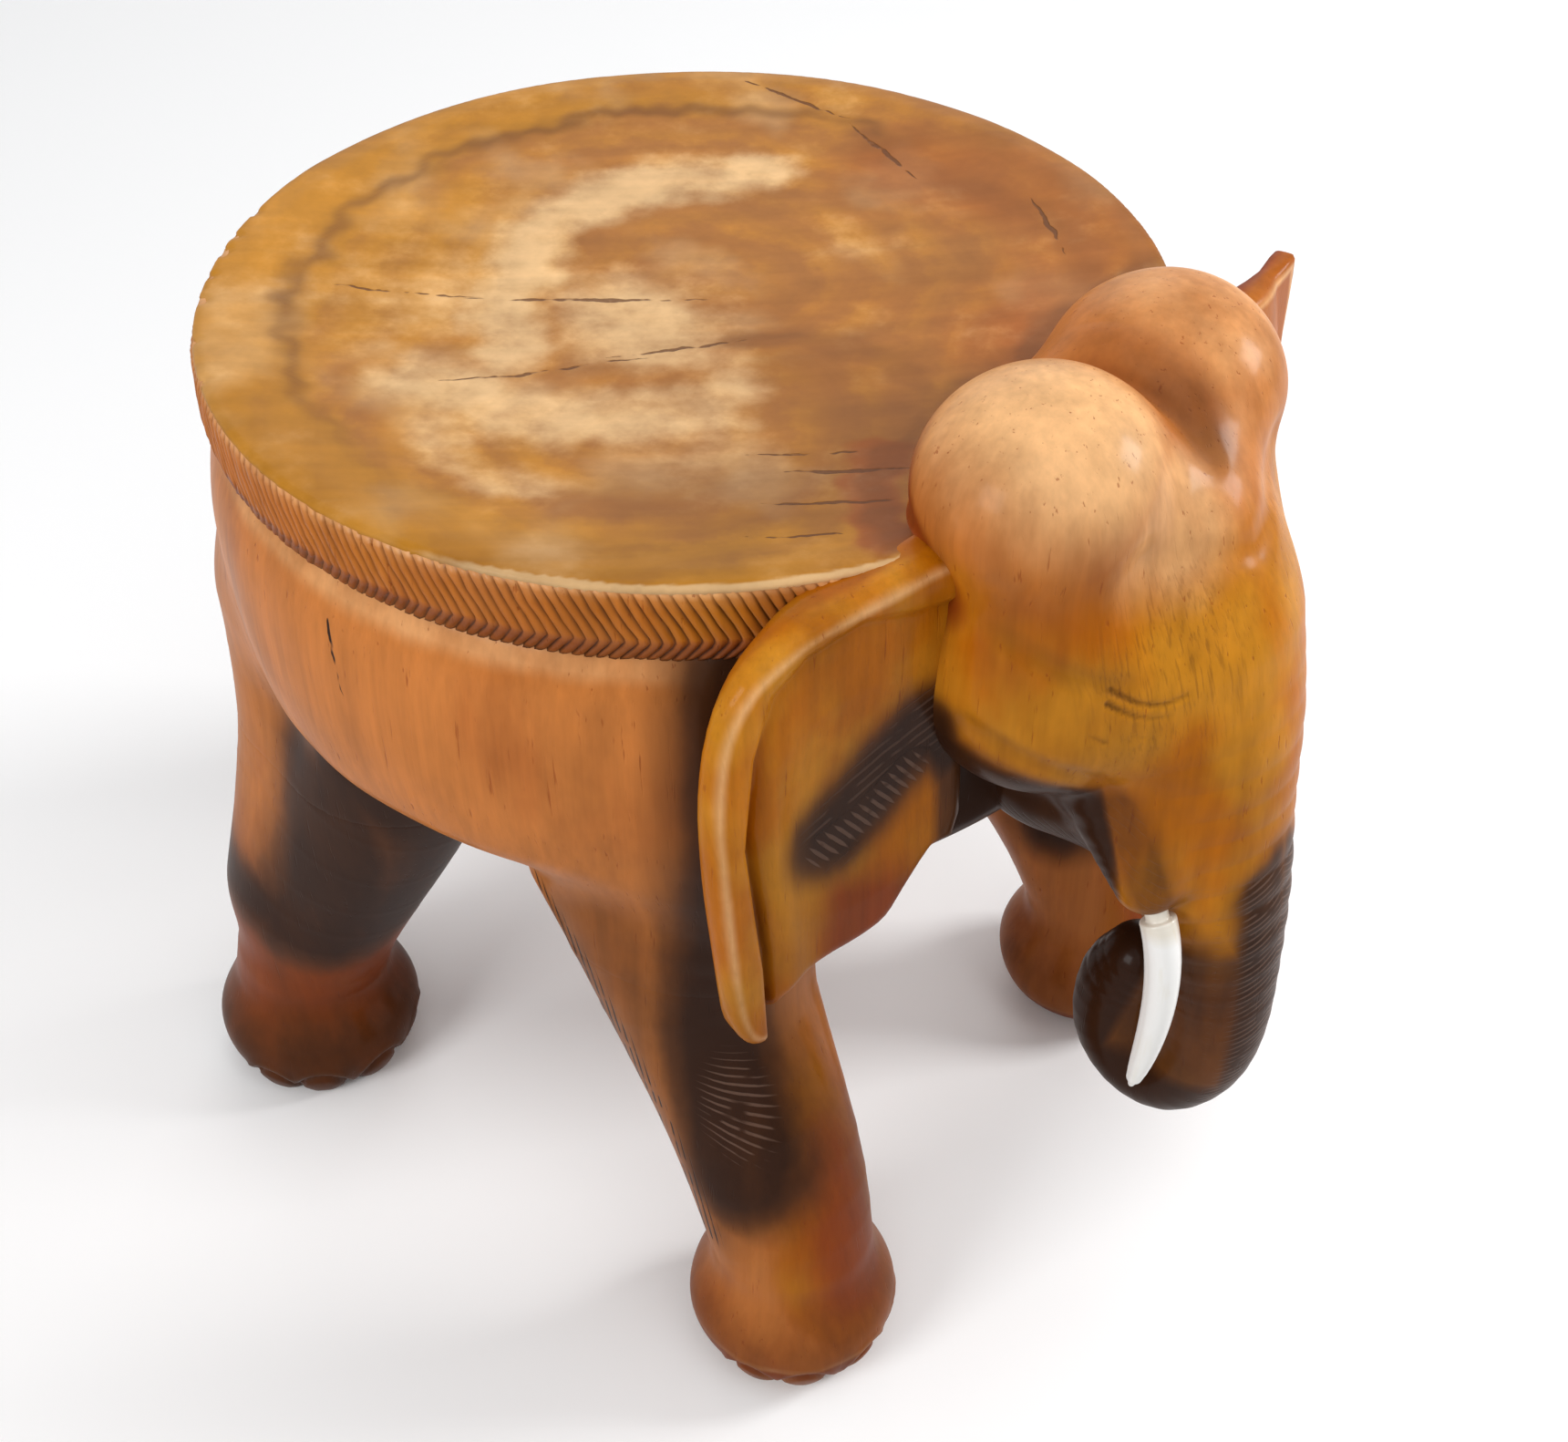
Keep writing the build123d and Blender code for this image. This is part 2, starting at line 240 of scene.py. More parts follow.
def barrel_form(p):
    x, y, z = p.T
    below = (BARREL_FULL_Z - z) / DRAWN_OVER
    above = (z - BARREL_FULL_Z) / UNDERCUT_OVER
    radius = BARREL_R - np.where(z < BARREL_FULL_Z, DRAWN_IN * below**2, UNDERCUT * above**3)
    side = (np.sqrt(x * x + y * y) - radius) * 0.95
    belly = BELLY_Z + 10 * (y / 150) ** 2 - z
    chest = (x - EAR_ROOT[0]) * math.cos(EAR_SWEEP) + (y - EAR_ROOT[1]) * math.sin(EAR_SWEEP) + 5
    return keep(keep(keep(side, chest, 8), belly, 16), z - BARREL_TOP_Z, 3)


def tail_form(p):
    cord = limb(p, [(-164, 0, 324), (-170, 0, 274), (-163, 3, 232)], [7, 7, 6])
    return merge(cord, egg(p, (-162, 4, 226), (9, 8, 14)), 4)


FRONT_LEG = (
    [(55, 97, 218), (87, 102, 147), (113.5, 108.5, 98), (126.5, 112, 58), (127, 112, 30)],
    [45, 36.5, 33.2, 30.4, 30],
)
REAR_LEG = (
    [(-58, 100, 212), (-93, 108, 136), (-114, 114, 86), (-124, 118, 52), (-125, 118, 30)],
    [42, 37, 33, 31.5, 30],
)
SHOULDER = ([(92, 89, 252), (86, 94, 210), (80, 98, 180)], [42, 38, 33])
HAUNCH = ([(-102, 92, 250), (-107, 97, 190), (-114, 105, 150), (-122, 112, 102)], [40.5, 36, 32.5, 33])
FRONT_FOOT = (126, 111, 23)
REAR_FOOT = (-125, 118, 23)
FRONT_BULB = (39.6, 39.6, 29)
REAR_BULB = (42.3, 42.3, 30)
NAIL_TURNS = (-34, 6, 46, 78)  # degrees round the foot from straight ahead
NAIL_HALF_TURN = 16
NAIL_HEIGHT = 17
NAIL_TOP_Z = 26
NAIL_GROOVE = 1.1  # where the cut round a nail lies, when the nail's own edge is 1
NAIL_RIDGE = 1.34


def from_nail(p, foot):
    """0 at the middle of the nearest toenail's root on the floor, 1 at its edge."""
    turn = np.degrees(np.arctan2(p[:, 1] - foot[1], p[:, 0] - foot[0]))
    off = np.abs(turn[:, None] - np.array(NAIL_TURNS)).min(1)
    return np.sqrt((off / NAIL_HALF_TURN) ** 2 + (p[:, 2] / NAIL_HEIGHT) ** 2)


def foot_form(p, foot, bulb):
    """Bulb of the foot, with toenails left proud and a groove cut round each."""
    edge = from_nail(p, foot)
    plate = (1.3 + 1.4 * np.clip(1 - p[:, 2] / 14, 0, 1)) * np.clip(1.15 - edge * edge, 0, 1)
    groove = 1.6 * bell(edge, NAIL_GROOVE, 0.11) - 0.7 * bell(edge, NAIL_RIDGE, 0.12)
    return egg(p, foot, bulb) - plate + groove


def leg_form(p, leg, muscle, foot, bulb):
    limbs = merge(limb(p, *leg), limb(p, *muscle), 14)
    return merge(limbs, foot_form(p, foot, bulb), 12)


def body_form(p):
    """The barrel with all four legs run into it."""
    p = p.astype(np.float32)
    q = folded(p)
    form = barrel_form(q)
    form = merge(form, leg_form(q, FRONT_LEG, SHOULDER, FRONT_FOOT, FRONT_BULB), 18)
    form = merge(form, leg_form(q, REAR_LEG, HAUNCH, REAR_FOOT, REAR_BULB), 18)
    form = merge(form, tail_form(p), 3)
    return np.maximum(form + hand_waves(p, 0.5), -p[:, 2])


def crust(form, low, high, step):
    """The form's signed distance on a lattice, worked out finely only near its surface."""
    block, together = 8, 400  # lattice steps along a block, and blocks worked out at a time
    low = np.float32(low)
    blocks = np.ceil((np.float32(high) - low) / (block * step)).astype(int)
    spots = np.stack(np.meshgrid(*[np.arange(n) for n in blocks], indexing="ij"), -1).reshape(-1, 3)
    rough = form(low + (spots + 0.5) * block * step - step / 2)
    lattice = rough.reshape(blocks)
    for axis in range(3):
        lattice = np.repeat(lattice, block, axis)
    i, j, k = spots[np.abs(rough) < block * step * 1.2 + 5].T
    inner = np.stack(np.meshgrid(*[np.arange(block)] * 3, indexing="ij"), -1).reshape(-1, 3)
    cells = lattice.reshape(blocks[0], block, blocks[1], block, blocks[2], block)
    for n in range(0, len(i), together):
        part = slice(n, n + together)
        corner = np.column_stack([i[part], j[part], k[part]]) * block
        places = low + (corner[:, None] + inner).reshape(-1, 3) * step
        cells[i[part], :, j[part], :, k[part], :] = form(places).reshape(-1, block, block, block)
    return lattice


def skin(lattice, low, step):
    """Corner places and four-cornered faces of the surface where the lattice crosses nought."""
    inside = lattice < 0
    sides = [slice(None, -1), slice(1, None)]
    corners = np.stack(np.meshgrid([0, 1], [0, 1], [0, 1], indexing="ij"), -1).reshape(-1, 3)
    full = sum(inside[sides[a], sides[b], sides[c]].astype(np.int8) for a, b, c in corners)
    cells = np.argwhere((full > 0) & (full < 8))
    number = np.full(full.shape, -1, np.int32)
    number[tuple(cells.T)] = np.arange(len(cells))
    total = np.zeros((len(cells), 3))
    crossings = np.zeros(len(cells))
    for start in corners:
        for axis in range(3):
            if start[axis]:
                continue
            end = start + np.eye(3, dtype=int)[axis]
            a = lattice[tuple((cells + start).T)]
            b = lattice[tuple((cells + end).T)]
            cut = (a < 0) != (b < 0)
            share = np.where(cut, a / np.where(cut, a - b, 1), 0)
            total += (start + share[:, None] * (end - start)) * cut[:, None]
            crossings += cut
    places = np.float32(low) + step * (cells + total / crossings[:, None])
    faces = []
    for axis in range(3):
        across = [slice(None)] * 3
        beyond = [slice(None)] * 3
        across[axis], beyond[axis] = sides
        for other in range(3):
            if other != axis:
                across[other] = beyond[other] = slice(1, -1)
        change = inside[tuple(across)] != inside[tuple(beyond)]
        edges = np.argwhere(change) + [0 if k == axis else 1 for k in range(3)]
        u, v = np.eye(3, dtype=int)[(axis + 1) % 3], np.eye(3, dtype=int)[(axis + 2) % 3]
        ring = [number[tuple((edges - step_back).T)] for step_back in (0 * u, u, u + v, v)]
        quads = np.column_stack(ring)
        outward = inside[tuple(edges.T)]
        faces.append(np.where(outward[:, None], quads, quads[:, ::-1]))
    return places, np.vstack(faces)


def settle(form, places, step):
    """Moves the places onto the form's surface."""
    nudge = 0.25 * step
    for _ in range(3):
        gap = form(places)
        slope = np.zeros_like(places)
        for axis in range(3):
            probe = places.copy()
            probe[:, axis] += nudge
            slope[:, axis] = (form(probe) - gap) / nudge
        steep = np.maximum((slope**2).sum(1), 0.2)
        move = (gap / steep)[:, None] * slope
        length = np.sqrt((move**2).sum(1))[:, None]
        places = places - move * np.minimum(1, 0.7 * step / np.maximum(length, 1e-9))
    return places


def mesh_object(name, places, faces):
    """Closed mesh from places in millimetres, with smooth shading."""
    mesh = bpy.data.meshes.new(name)
    mesh.vertices.add(len(places))
    mesh.vertices.foreach_set("co", metres(places).astype(np.float32).ravel())
    mesh.loops.add(faces.size)
    mesh.loops.foreach_set("vertex_index", faces.astype(np.int32).ravel())
    mesh.polygons.add(len(faces))
    mesh.polygons.foreach_set("loop_start", np.arange(0, faces.size, 4, dtype=np.int32))
    mesh.polygons.foreach_set("use_smooth", np.ones(len(faces), bool))
    mesh.update(calc_edges=True)
    mesh.validate()
    piece = bpy.data.objects.new(name, mesh)
    bpy.context.scene.collection.objects.link(piece)
    return piece


def carve(name, form, low, high, step, side=1):
    """Meshes a form, or its mirror image for side -1; gives the piece and its places in mm."""
    places, faces = skin(crust(form, low, high, step), low, step)
    places = settle(form, places, step) * [1, side, 1]
    return mesh_object(name, places, faces if side > 0 else faces[:, ::-1]), places


def spot(p, centre, reach):
    """1 at a centre, fading to nought over a reach along X, Y and Z."""
    q = (p - np.float32(centre)) / np.float32(reach)
    return np.clip(1.6 * (1 - np.sqrt((q * q).sum(1))), 0, 1)


def streak(p, route, radius):
    """1 along a route, fading to nought over a radius."""
    gap = limb(p, route, [0.0] * len(route), 2)
    return np.clip(1.5 * (1 - gap / radius), 0, 1)


def strongest(*strengths):
    """The strongest of several marks at each place: stains, painted shade and painted highlights."""
    return np.max(strengths, axis=0)


def strongest_stroke(*kinds):
    """Of several kinds of stroke, each a strength, a turn and a tint, the strongest at each place."""
    strengths, turns, tints = zip(*kinds)
    pick = np.argmax(strengths, axis=0)
    return {
        "stroke": strongest(*strengths),
        "stroke_turn": np.choose(pick, turns),
        "stroke_tint": np.choose(pick, tints),
    }


def store_stains_and_light(piece, **stains_and_light):
    """Keeps the strength of each stain, painted shade and painted highlight at every corner of the mesh."""
    for name, strength in stains_and_light.items():
        layer = piece.data.attributes.new(name, "FLOAT", "POINT")
        layer.data.foreach_set("value", np.asarray(strength, np.float32))


AMBER = (0.47, 0.135, 0.002)
HONEY = (0.57, 0.225, 0.014)
TAN = (0.55, 0.185, 0.042)
RED_BROWN = (0.26, 0.045, 0.005)
SCORCHED_AND_SHADE = (0.1, 0.032, 0.009)
BURNT_AND_SHADE = (0.026, 0.009, 0.004)
WORN_AND_LIT = (0.86, 0.5, 0.23)
BRUSHED = (0.21, 0.12, 0.085)


class Finish:
    """A material under way: its nodes, and the colour worked up so far over a ground."""

    def __init__(self, name, ground, coat, roughness, specular):
        self.material = bpy.data.materials.new(name)
        self.material.use_nodes = True
        self.tree = self.material.node_tree
        self.shader = self.tree.nodes["Principled BSDF"]
        looks = {"Roughness": roughness, "Specular IOR Level": specular, "Coat Weight": coat}
        for key, value in (looks | {"Coat Roughness": 0.17, "Coat IOR": 1.4}).items():
            self.shader.inputs[key].default_value = value
        self.place = self.node("ShaderNodeTexCoord").outputs["Object"]
        self.colour = self.node("ShaderNodeRGB").outputs[0]
        self.colour.default_value = (*ground, 1)

    def node(self, kind, settings=None, values=(), **links):
        return wire(self.tree, kind, settings, values, **links)

    def sum(self, operation, *values):
        return self.node("ShaderNodeMath", {"operation": operation}, values).outputs[0]

    def times(self, a, b):
        return self.sum("MULTIPLY", a, b)

    def scaled(self, value, by, more):
        """A value times another, with more added."""
        return self.sum("MULTIPLY_ADD", value, by, more)

    def uneven(self, value, noise, height, shift):
        """A value with a noise of a height added, and shifted."""
        return self.sum("ADD", value, self.scaled(noise, height, shift))

    def vector(self, operation, *values):
        made = self.node("ShaderNodeVectorMath", {"operation": operation}, values)
        return made.outputs["Value" if operation in ("DOT_PRODUCT", "DISTANCE") else "Vector"]

    def band(self, value, low, high):
        """0 below low and 1 above high, with a soft change between."""
        soft = {"interpolation_type": "SMOOTHSTEP"}
        made = self.node("ShaderNodeMapRange", soft, Value=value, From_Min=low, From_Max=high)
        return made.outputs["Result"]

    def slanted_noise(self, scale, turn, lengths):
        """Streaks drawn out by the lengths given along axes that are turned from the frame's."""
        drawn = {"vector_type": "TEXTURE"}
        sized = self.node("ShaderNodeMapping", drawn, Vector=self.place, Rotation=turn, Scale=lengths)
        return self.node("ShaderNodeTexNoise", Vector=sized.outputs[0], Scale=scale, Detail=3.0).outputs[0]

    def noise(self, scale, stretch=(1, 1, 1), detail=3.0, roughness=0.5):
        sized = self.node("ShaderNodeMapping", Vector=self.place, Scale=stretch).outputs[0]
        made = self.node(
            "ShaderNodeTexNoise", Vector=sized, Scale=scale, Detail=detail, Roughness=roughness
        )
        return made.outputs[0]

    def strength(self, name):
        return self.node("ShaderNodeAttribute", {"attribute_name": name}).outputs["Fac"]

    def crack(self, start, end, width):
        """1 along a fine, slightly crooked crack between two places, thinner towards its ends."""
        start, end = Vector(metres(start)), Vector(metres(end))
        along = end - start
        wander = 0.004  # metres
        jolt = self.node("ShaderNodeTexNoise", Vector=self.place, Scale=110.0, Detail=2.0).outputs["Color"]
        aside = self.vector(
            "MULTIPLY_ADD", jolt, (wander,) * 3, tuple(-start - Vector((wander / 2,) * 3))
        )
        off = self.vector("ADD", self.place, aside)
        share = self.times(self.vector("DOT_PRODUCT", off, tuple(along)), 1 / along.length_squared)
        share = self.sum("MINIMUM", self.sum("MAXIMUM", share, 0.0), 1.0)
        on_line = self.node("ShaderNodeVectorMath", {"operation": "SCALE"}, (along,), Scale=share)
        gap = self.vector("DISTANCE", off, on_line.outputs[0])
        middle = self.scaled(share, 2.0, -1.0)
        taper = self.sum("SUBTRACT", 1.0, self.times(middle, middle))
        return self.band(self.scaled(gap, -2000 / width, taper), 0.0, 0.4)

    def lay(self, colour, amount, blend="MIX"):
        """Lays a colour over what is there."""
        settings = {"data_type": "RGBA", "blend_type": blend}
        mixed = self.node("ShaderNodeMix", settings, Factor=amount, A=self.colour, B=colour)
        self.colour = mixed.outputs["Result"]

    def darken(self, shade):
        """Multiplies what is there by a shade of grey."""
        grey = self.node("ShaderNodeCombineColor", Red=shade, Green=shade, Blue=shade)
        self.lay(grey.outputs[0], 1.0, "MULTIPLY")

    def done(self, height, depth=0.0006):
        bump = self.node("ShaderNodeBump", Height=height, Distance=depth)
        self.tree.links.new(bump.outputs[0], self.shader.inputs["Normal"])
        self.tree.links.new(self.colour, self.shader.inputs["Base Color"])
        return self.material


def carved_wood():
    """Upright grain under tinted lacquer: amber and tan, red-brown in places, burnt dark where the carver
    shaded it; painted shade goes on in the same burnt colours, and painted highlights in the worn colour.
    """
    wood = Finish("carved_wood", TAN, 0.17, 0.42, 0.03)
    cloud = wood.noise(9, detail=4)
    fine_cloud = wood.noise(38, (1, 1, 0.5), detail=4, roughness=0.6)
    fibre = wood.noise(260, (1, 1, 0.045), detail=3, roughness=0.6)
    broad_fibre = wood.noise(70, (1, 1, 0.06), detail=3)
    pores = wood.noise(520, (1, 1, 0.07), detail=2, roughness=0.7)
    scrapes = wood.slanted_noise(900, (0, -0.26, 0), (1, 1, 17))
    honey_cloud = wood.noise(24, (1, 1, 0.7), detail=3)
    red_cloud = wood.noise(16, (1, 1, 0.6), detail=4)

    gold = wood.uneven(wood.uneven(wood.strength("gold"), cloud, 1.2, -0.6), fine_cloud, 0.7, -0.35)
    wood.lay(AMBER, wood.band(gold, 0.15, 0.8))
    wood.lay(HONEY, wood.times(wood.band(honey_cloud, 0.38, 0.6), wood.band(gold, 0.3, 0.9)))
    wood.lay(RED_BROWN, wood.band(wood.uneven(wood.strength("red"), fine_cloud, 0.7, -0.42), 0.1, 1.0))
    wood.lay(RED_BROWN, wood.times(wood.band(red_cloud, 0.5, 0.72), 0.4))
    # Wear, and painted highlights, in the worn colour.
    worn = wood.uneven(wood.strength("worn"), fine_cloud, 0.6, -0.42)
    wood.lay(WORN_AND_LIT, wood.times(wood.band(worn, 0.1, 1.0), 0.85))
    shade = wood.times(wood.scaled(broad_fibre, 0.5, 0.74), wood.scaled(fibre, 0.44, 0.78))
    wood.darken(wood.times(shade, wood.scaled(fine_cloud, 0.9, 0.55)))
    wood.lay(RED_BROWN, wood.times(wood.band(pores, 0.66, 0.74), 0.55))
    # Burnt marks and painted shade, in the scorched and burnt colours.
    burn = wood.uneven(wood.uneven(wood.strength("burn"), broad_fibre, 0.4, -0.2), fine_cloud, 0.5, -0.25)
    wood.lay(SCORCHED_AND_SHADE, wood.times(wood.band(burn, 0.0, 0.75), 0.9))
    wood.lay(BURNT_AND_SHADE, wood.times(wood.band(burn, 0.35, 1.05), 0.96))

    turn = wood.sum("ADD", wood.strength("stroke_turn"), wood.times(fine_cloud, 0.6))
    wave = wood.sum("SINE", wood.times(turn, 2 * math.pi))
    broken = wood.band(wood.noise(120, detail=1), 0.32, 0.48)
    narrowed = wood.uneven(wave, wood.strength("stroke"), 1.7, -1.35)
    stroke = wood.times(wood.band(narrowed, 0.3, 0.85), broken)
    tint = wood.strength("stroke_tint")
    wood.lay(BURNT_AND_SHADE, wood.times(stroke, wood.sum("SUBTRACT", 1.0, tint)))
    wood.lay(BRUSHED, wood.times(wood.times(stroke, tint), 0.5))
    crack = wood.crack((-16, -165, 344), (-7, -171, 293), 2.0)
    # Cracks, and painted shade in the creases and gouge cuts, in the burnt colour.
    wood.lay(BURNT_AND_SHADE, wood.sum("MAXIMUM", crack, wood.times(wood.strength("cut"), 0.8)))
    combing = wood.times(wood.strength("combed"), wood.band(scrapes, 0.5, 0.7))
    wood.lay(SCORCHED_AND_SHADE, wood.times(combing, 0.34))

    height = wood.scaled(fibre, 0.10, wood.times(broad_fibre, 0.16))
    lines = wood.sum("MAXIMUM", stroke, crack)
    for mark, depth in ((wood.band(pores, 0.62, 0.74), 0.18), (lines, 0.4), (combing, 0.25)):
        height = wood.sum("SUBTRACT", height, wood.times(mark, depth))
    return wood.done(height)


WOOD = carved_wood()


def lacquer(piece, places, **stains_and_light):
    """Lays stains, painted shade and painted highlights on a carved piece, lacquers it and sets it in the
    frame in place of the block.
    """
    stains_and_light_read = ("gold", "red", "worn", "burn", "cut", "combed", "stroke", "stroke_turn", "stroke_tint")
    blank = {name: np.zeros(len(places)) for name in stains_and_light_read}
    store_stains_and_light(piece, **(blank | stains_and_light))
    piece.data.materials.append(WOOD)
    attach(piece, "root")
    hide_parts("carved_block")


def leg_stains_and_light(p):
    """Stains, painted shade and painted highlights that run on from the body down each leg."""
    q = folded(p)
    x, out, z = q.T
    rear_half = x < 0
    front = strongest(
        streak(q, [(122, 126, 338), (124, 130, 270), (112, 134, 205), (114, 134, 150), (121, 136, 112)], 38),
        streak(q, [(122, 128, 185), (127, 132, 122)], 26),
        0.46 * streak(q, [(66, 142, 205), (76, 136, 150), (102, 139, 90)], 46),
        streak(p, [(118, 78, 215), (117, 74, 165), (124, 78, 125)], 34),
    )
    rear = strongest(
        streak(q, [(-70, 150, 236), (-64, 142, 205), (-66, 140, 165), (-84, 140, 118)], 44),
        streak(q, [(-46, 130, 216), (-46, 112, 176), (-66, 108, 130)], 44),
    )
    ankle = 0.78 * bell(z, 118, 17) * rear_half * np.clip((out - 96) / 30, 0.35, 1)
    rear = strongest(rear * ramp(z, 252, 208), ankle)
    # Painted shade over the rear of the body and the haunches.
    shaded_flank = 0.36 * ramp(x, -96, -146) * ramp(z, 96, 156)
    chest = ramp(x, 118, 134) * ramp(z, 310, 290) * ramp(out, 100, 86) * ramp(z, 190, 210)
    belly = streak(q, [(-50, 140, 222), (-20, 120, 220), (24, 120, 220)], 18)
    amber = streak(q, [(146, 108, 160), (152, 112, 90), (156, 112, 60)], 34)
    feet = ramp(z, 62, 32)
    nail_edge = np.minimum(from_nail(q, FRONT_FOOT), from_nail(q, REAR_FOOT))
    nail_edge = np.where(z < NAIL_TOP_Z, nail_edge, 9)
    hair_route = [(36, 144, 214), (56, 140, 179), (73, 136, 144)]
    hair_route += [(87, 137.5, 120), (101, 139, 95), (108, 139.5, 78)]
    hair = 0.82 * streak(q, hair_route, 17)
    hair_turn = (0.72 * x - 0.71 * out + 0.16 * z) / 2.0
    brush = 0.85 * spot(q, (122, 134, 148), (30, 24, 46))
    brush_turn = (z + (x - 105) * (0.3 + 0.4 * ramp(z, 150, 90))) / 2.9
    burn = strongest(front, rear, chest) + shaded_flank + 0.6 * belly + 0.38 * feet + 0.12 * amber
    red = 0.3 * feet + 0.35 * ramp(z, 200, 100) + 0.6 * rear_half * ramp(z, 150, 100) + 0.55 * amber
    return {
        "burn": np.clip(burn + 0.3 * rear_half * ramp(z, 130, 100), 0, 1),
        "gold": np.clip(amber + 0.15, 0, 1),
        "red": np.clip(red + bell(nail_edge, NAIL_GROOVE, 0.13), 0, 1),
        # Pale nails; the ridge above each nail's groove takes a painted highlight.
        "worn": 0.6 * np.clip(1.2 - nail_edge, 0, 1) + 0.5 * bell(nail_edge, NAIL_RIDGE, 0.14),
        **strongest_stroke((brush, brush_turn, 1.0), (hair, hair_turn, 0.0)),
    }


def part_of(form, p, z, sign, depth, over):
    """A form above a level, or below it for sign -1; past the level it sinks under its neighbour."""
    past = (z - p[:, 2]) * sign
    return keep(form(p) + depth * np.clip(past / (over - 1), 0, 1), past - over, 1)


def trunk_of_body(p):
    """Body down to the top of the legs."""
    return part_of(body_form, p, BODY_FOOT_Z, 1, 0.8, 5)


body, body_places = carve("body", trunk_of_body, (-186, -180, 180), (180, 180, 346), 2.1)
body_stains_and_light = leg_stains_and_light(body_places)
body_stains_and_light["red"] = np.clip(body_stains_and_light["red"] + 0.2 * ramp(body_places[:, 2], 300, 340), 0, 1)
# A painted highlight along the body's top edge, just under the band.
body_stains_and_light["worn"] = body_stains_and_light["worn"] + 0.6 * ramp(body_places[:, 2], 324, 332)
lacquer(body, body_places, **body_stains_and_light)

# ------------------------------------------------------------------------------------------------
# Legs: four leaning legs that end in bulb feet with cut toenails. They are the same wood as the
# body, so each runs up under the body's own surface without a seam.
LEG_SPACE = (172, 146)  # room in which a leg is carved, along X and Y
for leg_name, leg_x, leg_side in (
    ("leg_front_right", 1, -1),
    ("leg_front_left", 1, 1),
    ("leg_rear_right", -1, -1),
    ("leg_rear_left", -1, 1),
):

    def one_leg(p):
        return part_of(body_form, p, BODY_FOOT_Z, -1, 0.8, 5)

    low = (4 if leg_x > 0 else -176, 30 if leg_side > 0 else -176, -4)
    high = (low[0] + LEG_SPACE[0], low[1] + LEG_SPACE[1], 200)
    leg, leg_places = carve(leg_name, one_leg, low, high, 1.7)
    lacquer(leg, leg_places, **leg_stains_and_light(leg_places))

# ------------------------------------------------------------------------------------------------
# Seat: the log's dished end, sawn across the grain, so it shows growth rings round two hearts, a
# pale sapwood edge, thin drying checks, and pale patches that are partly worn lacquer and partly painted
# sheen.
SEAT_LOW = 357.0
SEAT_DISH_R = 156.0
SEAT_SLAB_Z = 350.0
RIM_EDGE = 2.2  # rounding of the seat's edge
STAIN_Z = 358  # level on which places over the seat are compared
HEARTS = ((-10, 20, STAIN_Z), (36, -62, STAIN_Z))
RING_SPACING = 0.021  # metres
FINE_RING_SPACING = 0.0048
STREAK_TURN = math.radians(42)
NICKS = [  # place on the rim, and length along it
    (-159, -52, 4.0), (-152, -68, 2.6), (-147, -78, 5.0), (-139, -92, 3.0),
    (-129, -105, 3.6), (-112, -124, 2.6), (-92, -139, 3.2),
]
NICK_INWARD = 3.4
NICK_DOWN = 2.4
CHECKS = [  # from, to and width of each drying check on the seat
    ((-112, -72), (-60, -38), 2.0), ((-72, -48), (10, 16), 2.8), ((-40, -92), (10, -28), 2.2),
    ((-6, -44), (30, 0), 1.8), ((78, -66), (120, -34), 2.2), ((88, -82), (130, -50), 2.2),
    ((66, -62), (108, -30), 1.6), ((96, -100), (128, -74), 1.6), ((-92, 134), (-26, 136), 1.8),
    ((-34, 135), (18, 115), 2.4), ((56, 128), (90, 98), 2.2),
]
SEAT_BROWN = (0.38, 0.145, 0.03)
SEAT_GOLD = (0.5, 0.21, 0.018)
SEAT_RED = (0.36, 0.1, 0.016)
SEAT_PALE = (0.76, 0.5, 0.25)
SEAT_DARK = (0.12, 0.04, 0.011)


def out_of_round(p):
    """How far the rim swells at the back left, in millimetres."""
    return 2.2 * np.clip((p @ np.float32((-0.9, -0.43, 0)) - 60) / 100, 0, 1)


def dished(p):
    """Height of the seat at a place."""
    reach = np.sqrt(p[:, 0] ** 2 + p[:, 1] ** 2)
    return SEAT_LOW + (SEAT_HEIGHT - SEAT_LOW) * np.minimum((reach / SEAT_DISH_R) ** 2.6, 1)


def seat_form(p):
    """The seat's top and edge; under the edge it steps in behind the rim band."""
    p = p.astype(np.float32)
    reach = np.sqrt(p[:, 0] ** 2 + p[:, 1] ** 2)
    top = p[:, 2] - dished(p) + hand_waves(p * 0.8, 0.35)
    tucked = 5 * np.clip((SEAT_HEIGHT - 2.4 - p[:, 2]) / 3, 0, 1)
    side = (reach - SEAT_R - 0.8 - out_of_round(p) + tucked) * 0.8
    slab = keep(keep(side, top, RIM_EDGE), SEAT_SLAB_Z - p[:, 2], 1)
    for x, y, length in NICKS:
        turned = math.atan2(y, x)
        off = p - np.float32((x, y, SEAT_HEIGHT + 0.6))
        out = off[:, 0] * math.cos(turned) + off[:, 1] * math.sin(turned)
        along = off[:, 1] * math.cos(turned) - off[:, 0] * math.sin(turned)
        lengths = (NICK_INWARD, length, NICK_DOWN)
        nick = egg(np.column_stack([out, along + 0.5 * out, off[:, 2]]), (0, 0, 0), lengths)
        slab = keep(slab, -nick, 0.6)
    return slab


def ragged(p, height):
    """Shifts places unevenly, so that a stain keeps no clean edge."""
    x, y, z = (p / 11).T
    aside = np.sin(1.3 * y + 2.1 * np.sin(0.7 * x)) + 0.7 * np.sin(2.9 * y - 1.7 * x + 1)
    aside = aside + 0.5 * np.sin(5.3 * x + 3.1 * y)
    ahead = np.sin(1.1 * x + 1.9 * np.sin(0.8 * y) + 2) + 0.7 * np.sin(2.7 * x + 1.9 * y)
    ahead = ahead + 0.5 * np.sin(4.9 * y - 3.3 * x)
    return p + height * np.column_stack([aside, ahead, 0 * z])


def on_dish(x, y):
    """The seat's surface over a place."""
    return (x, y, dished(np.array([(x, y, 0)]))[0])


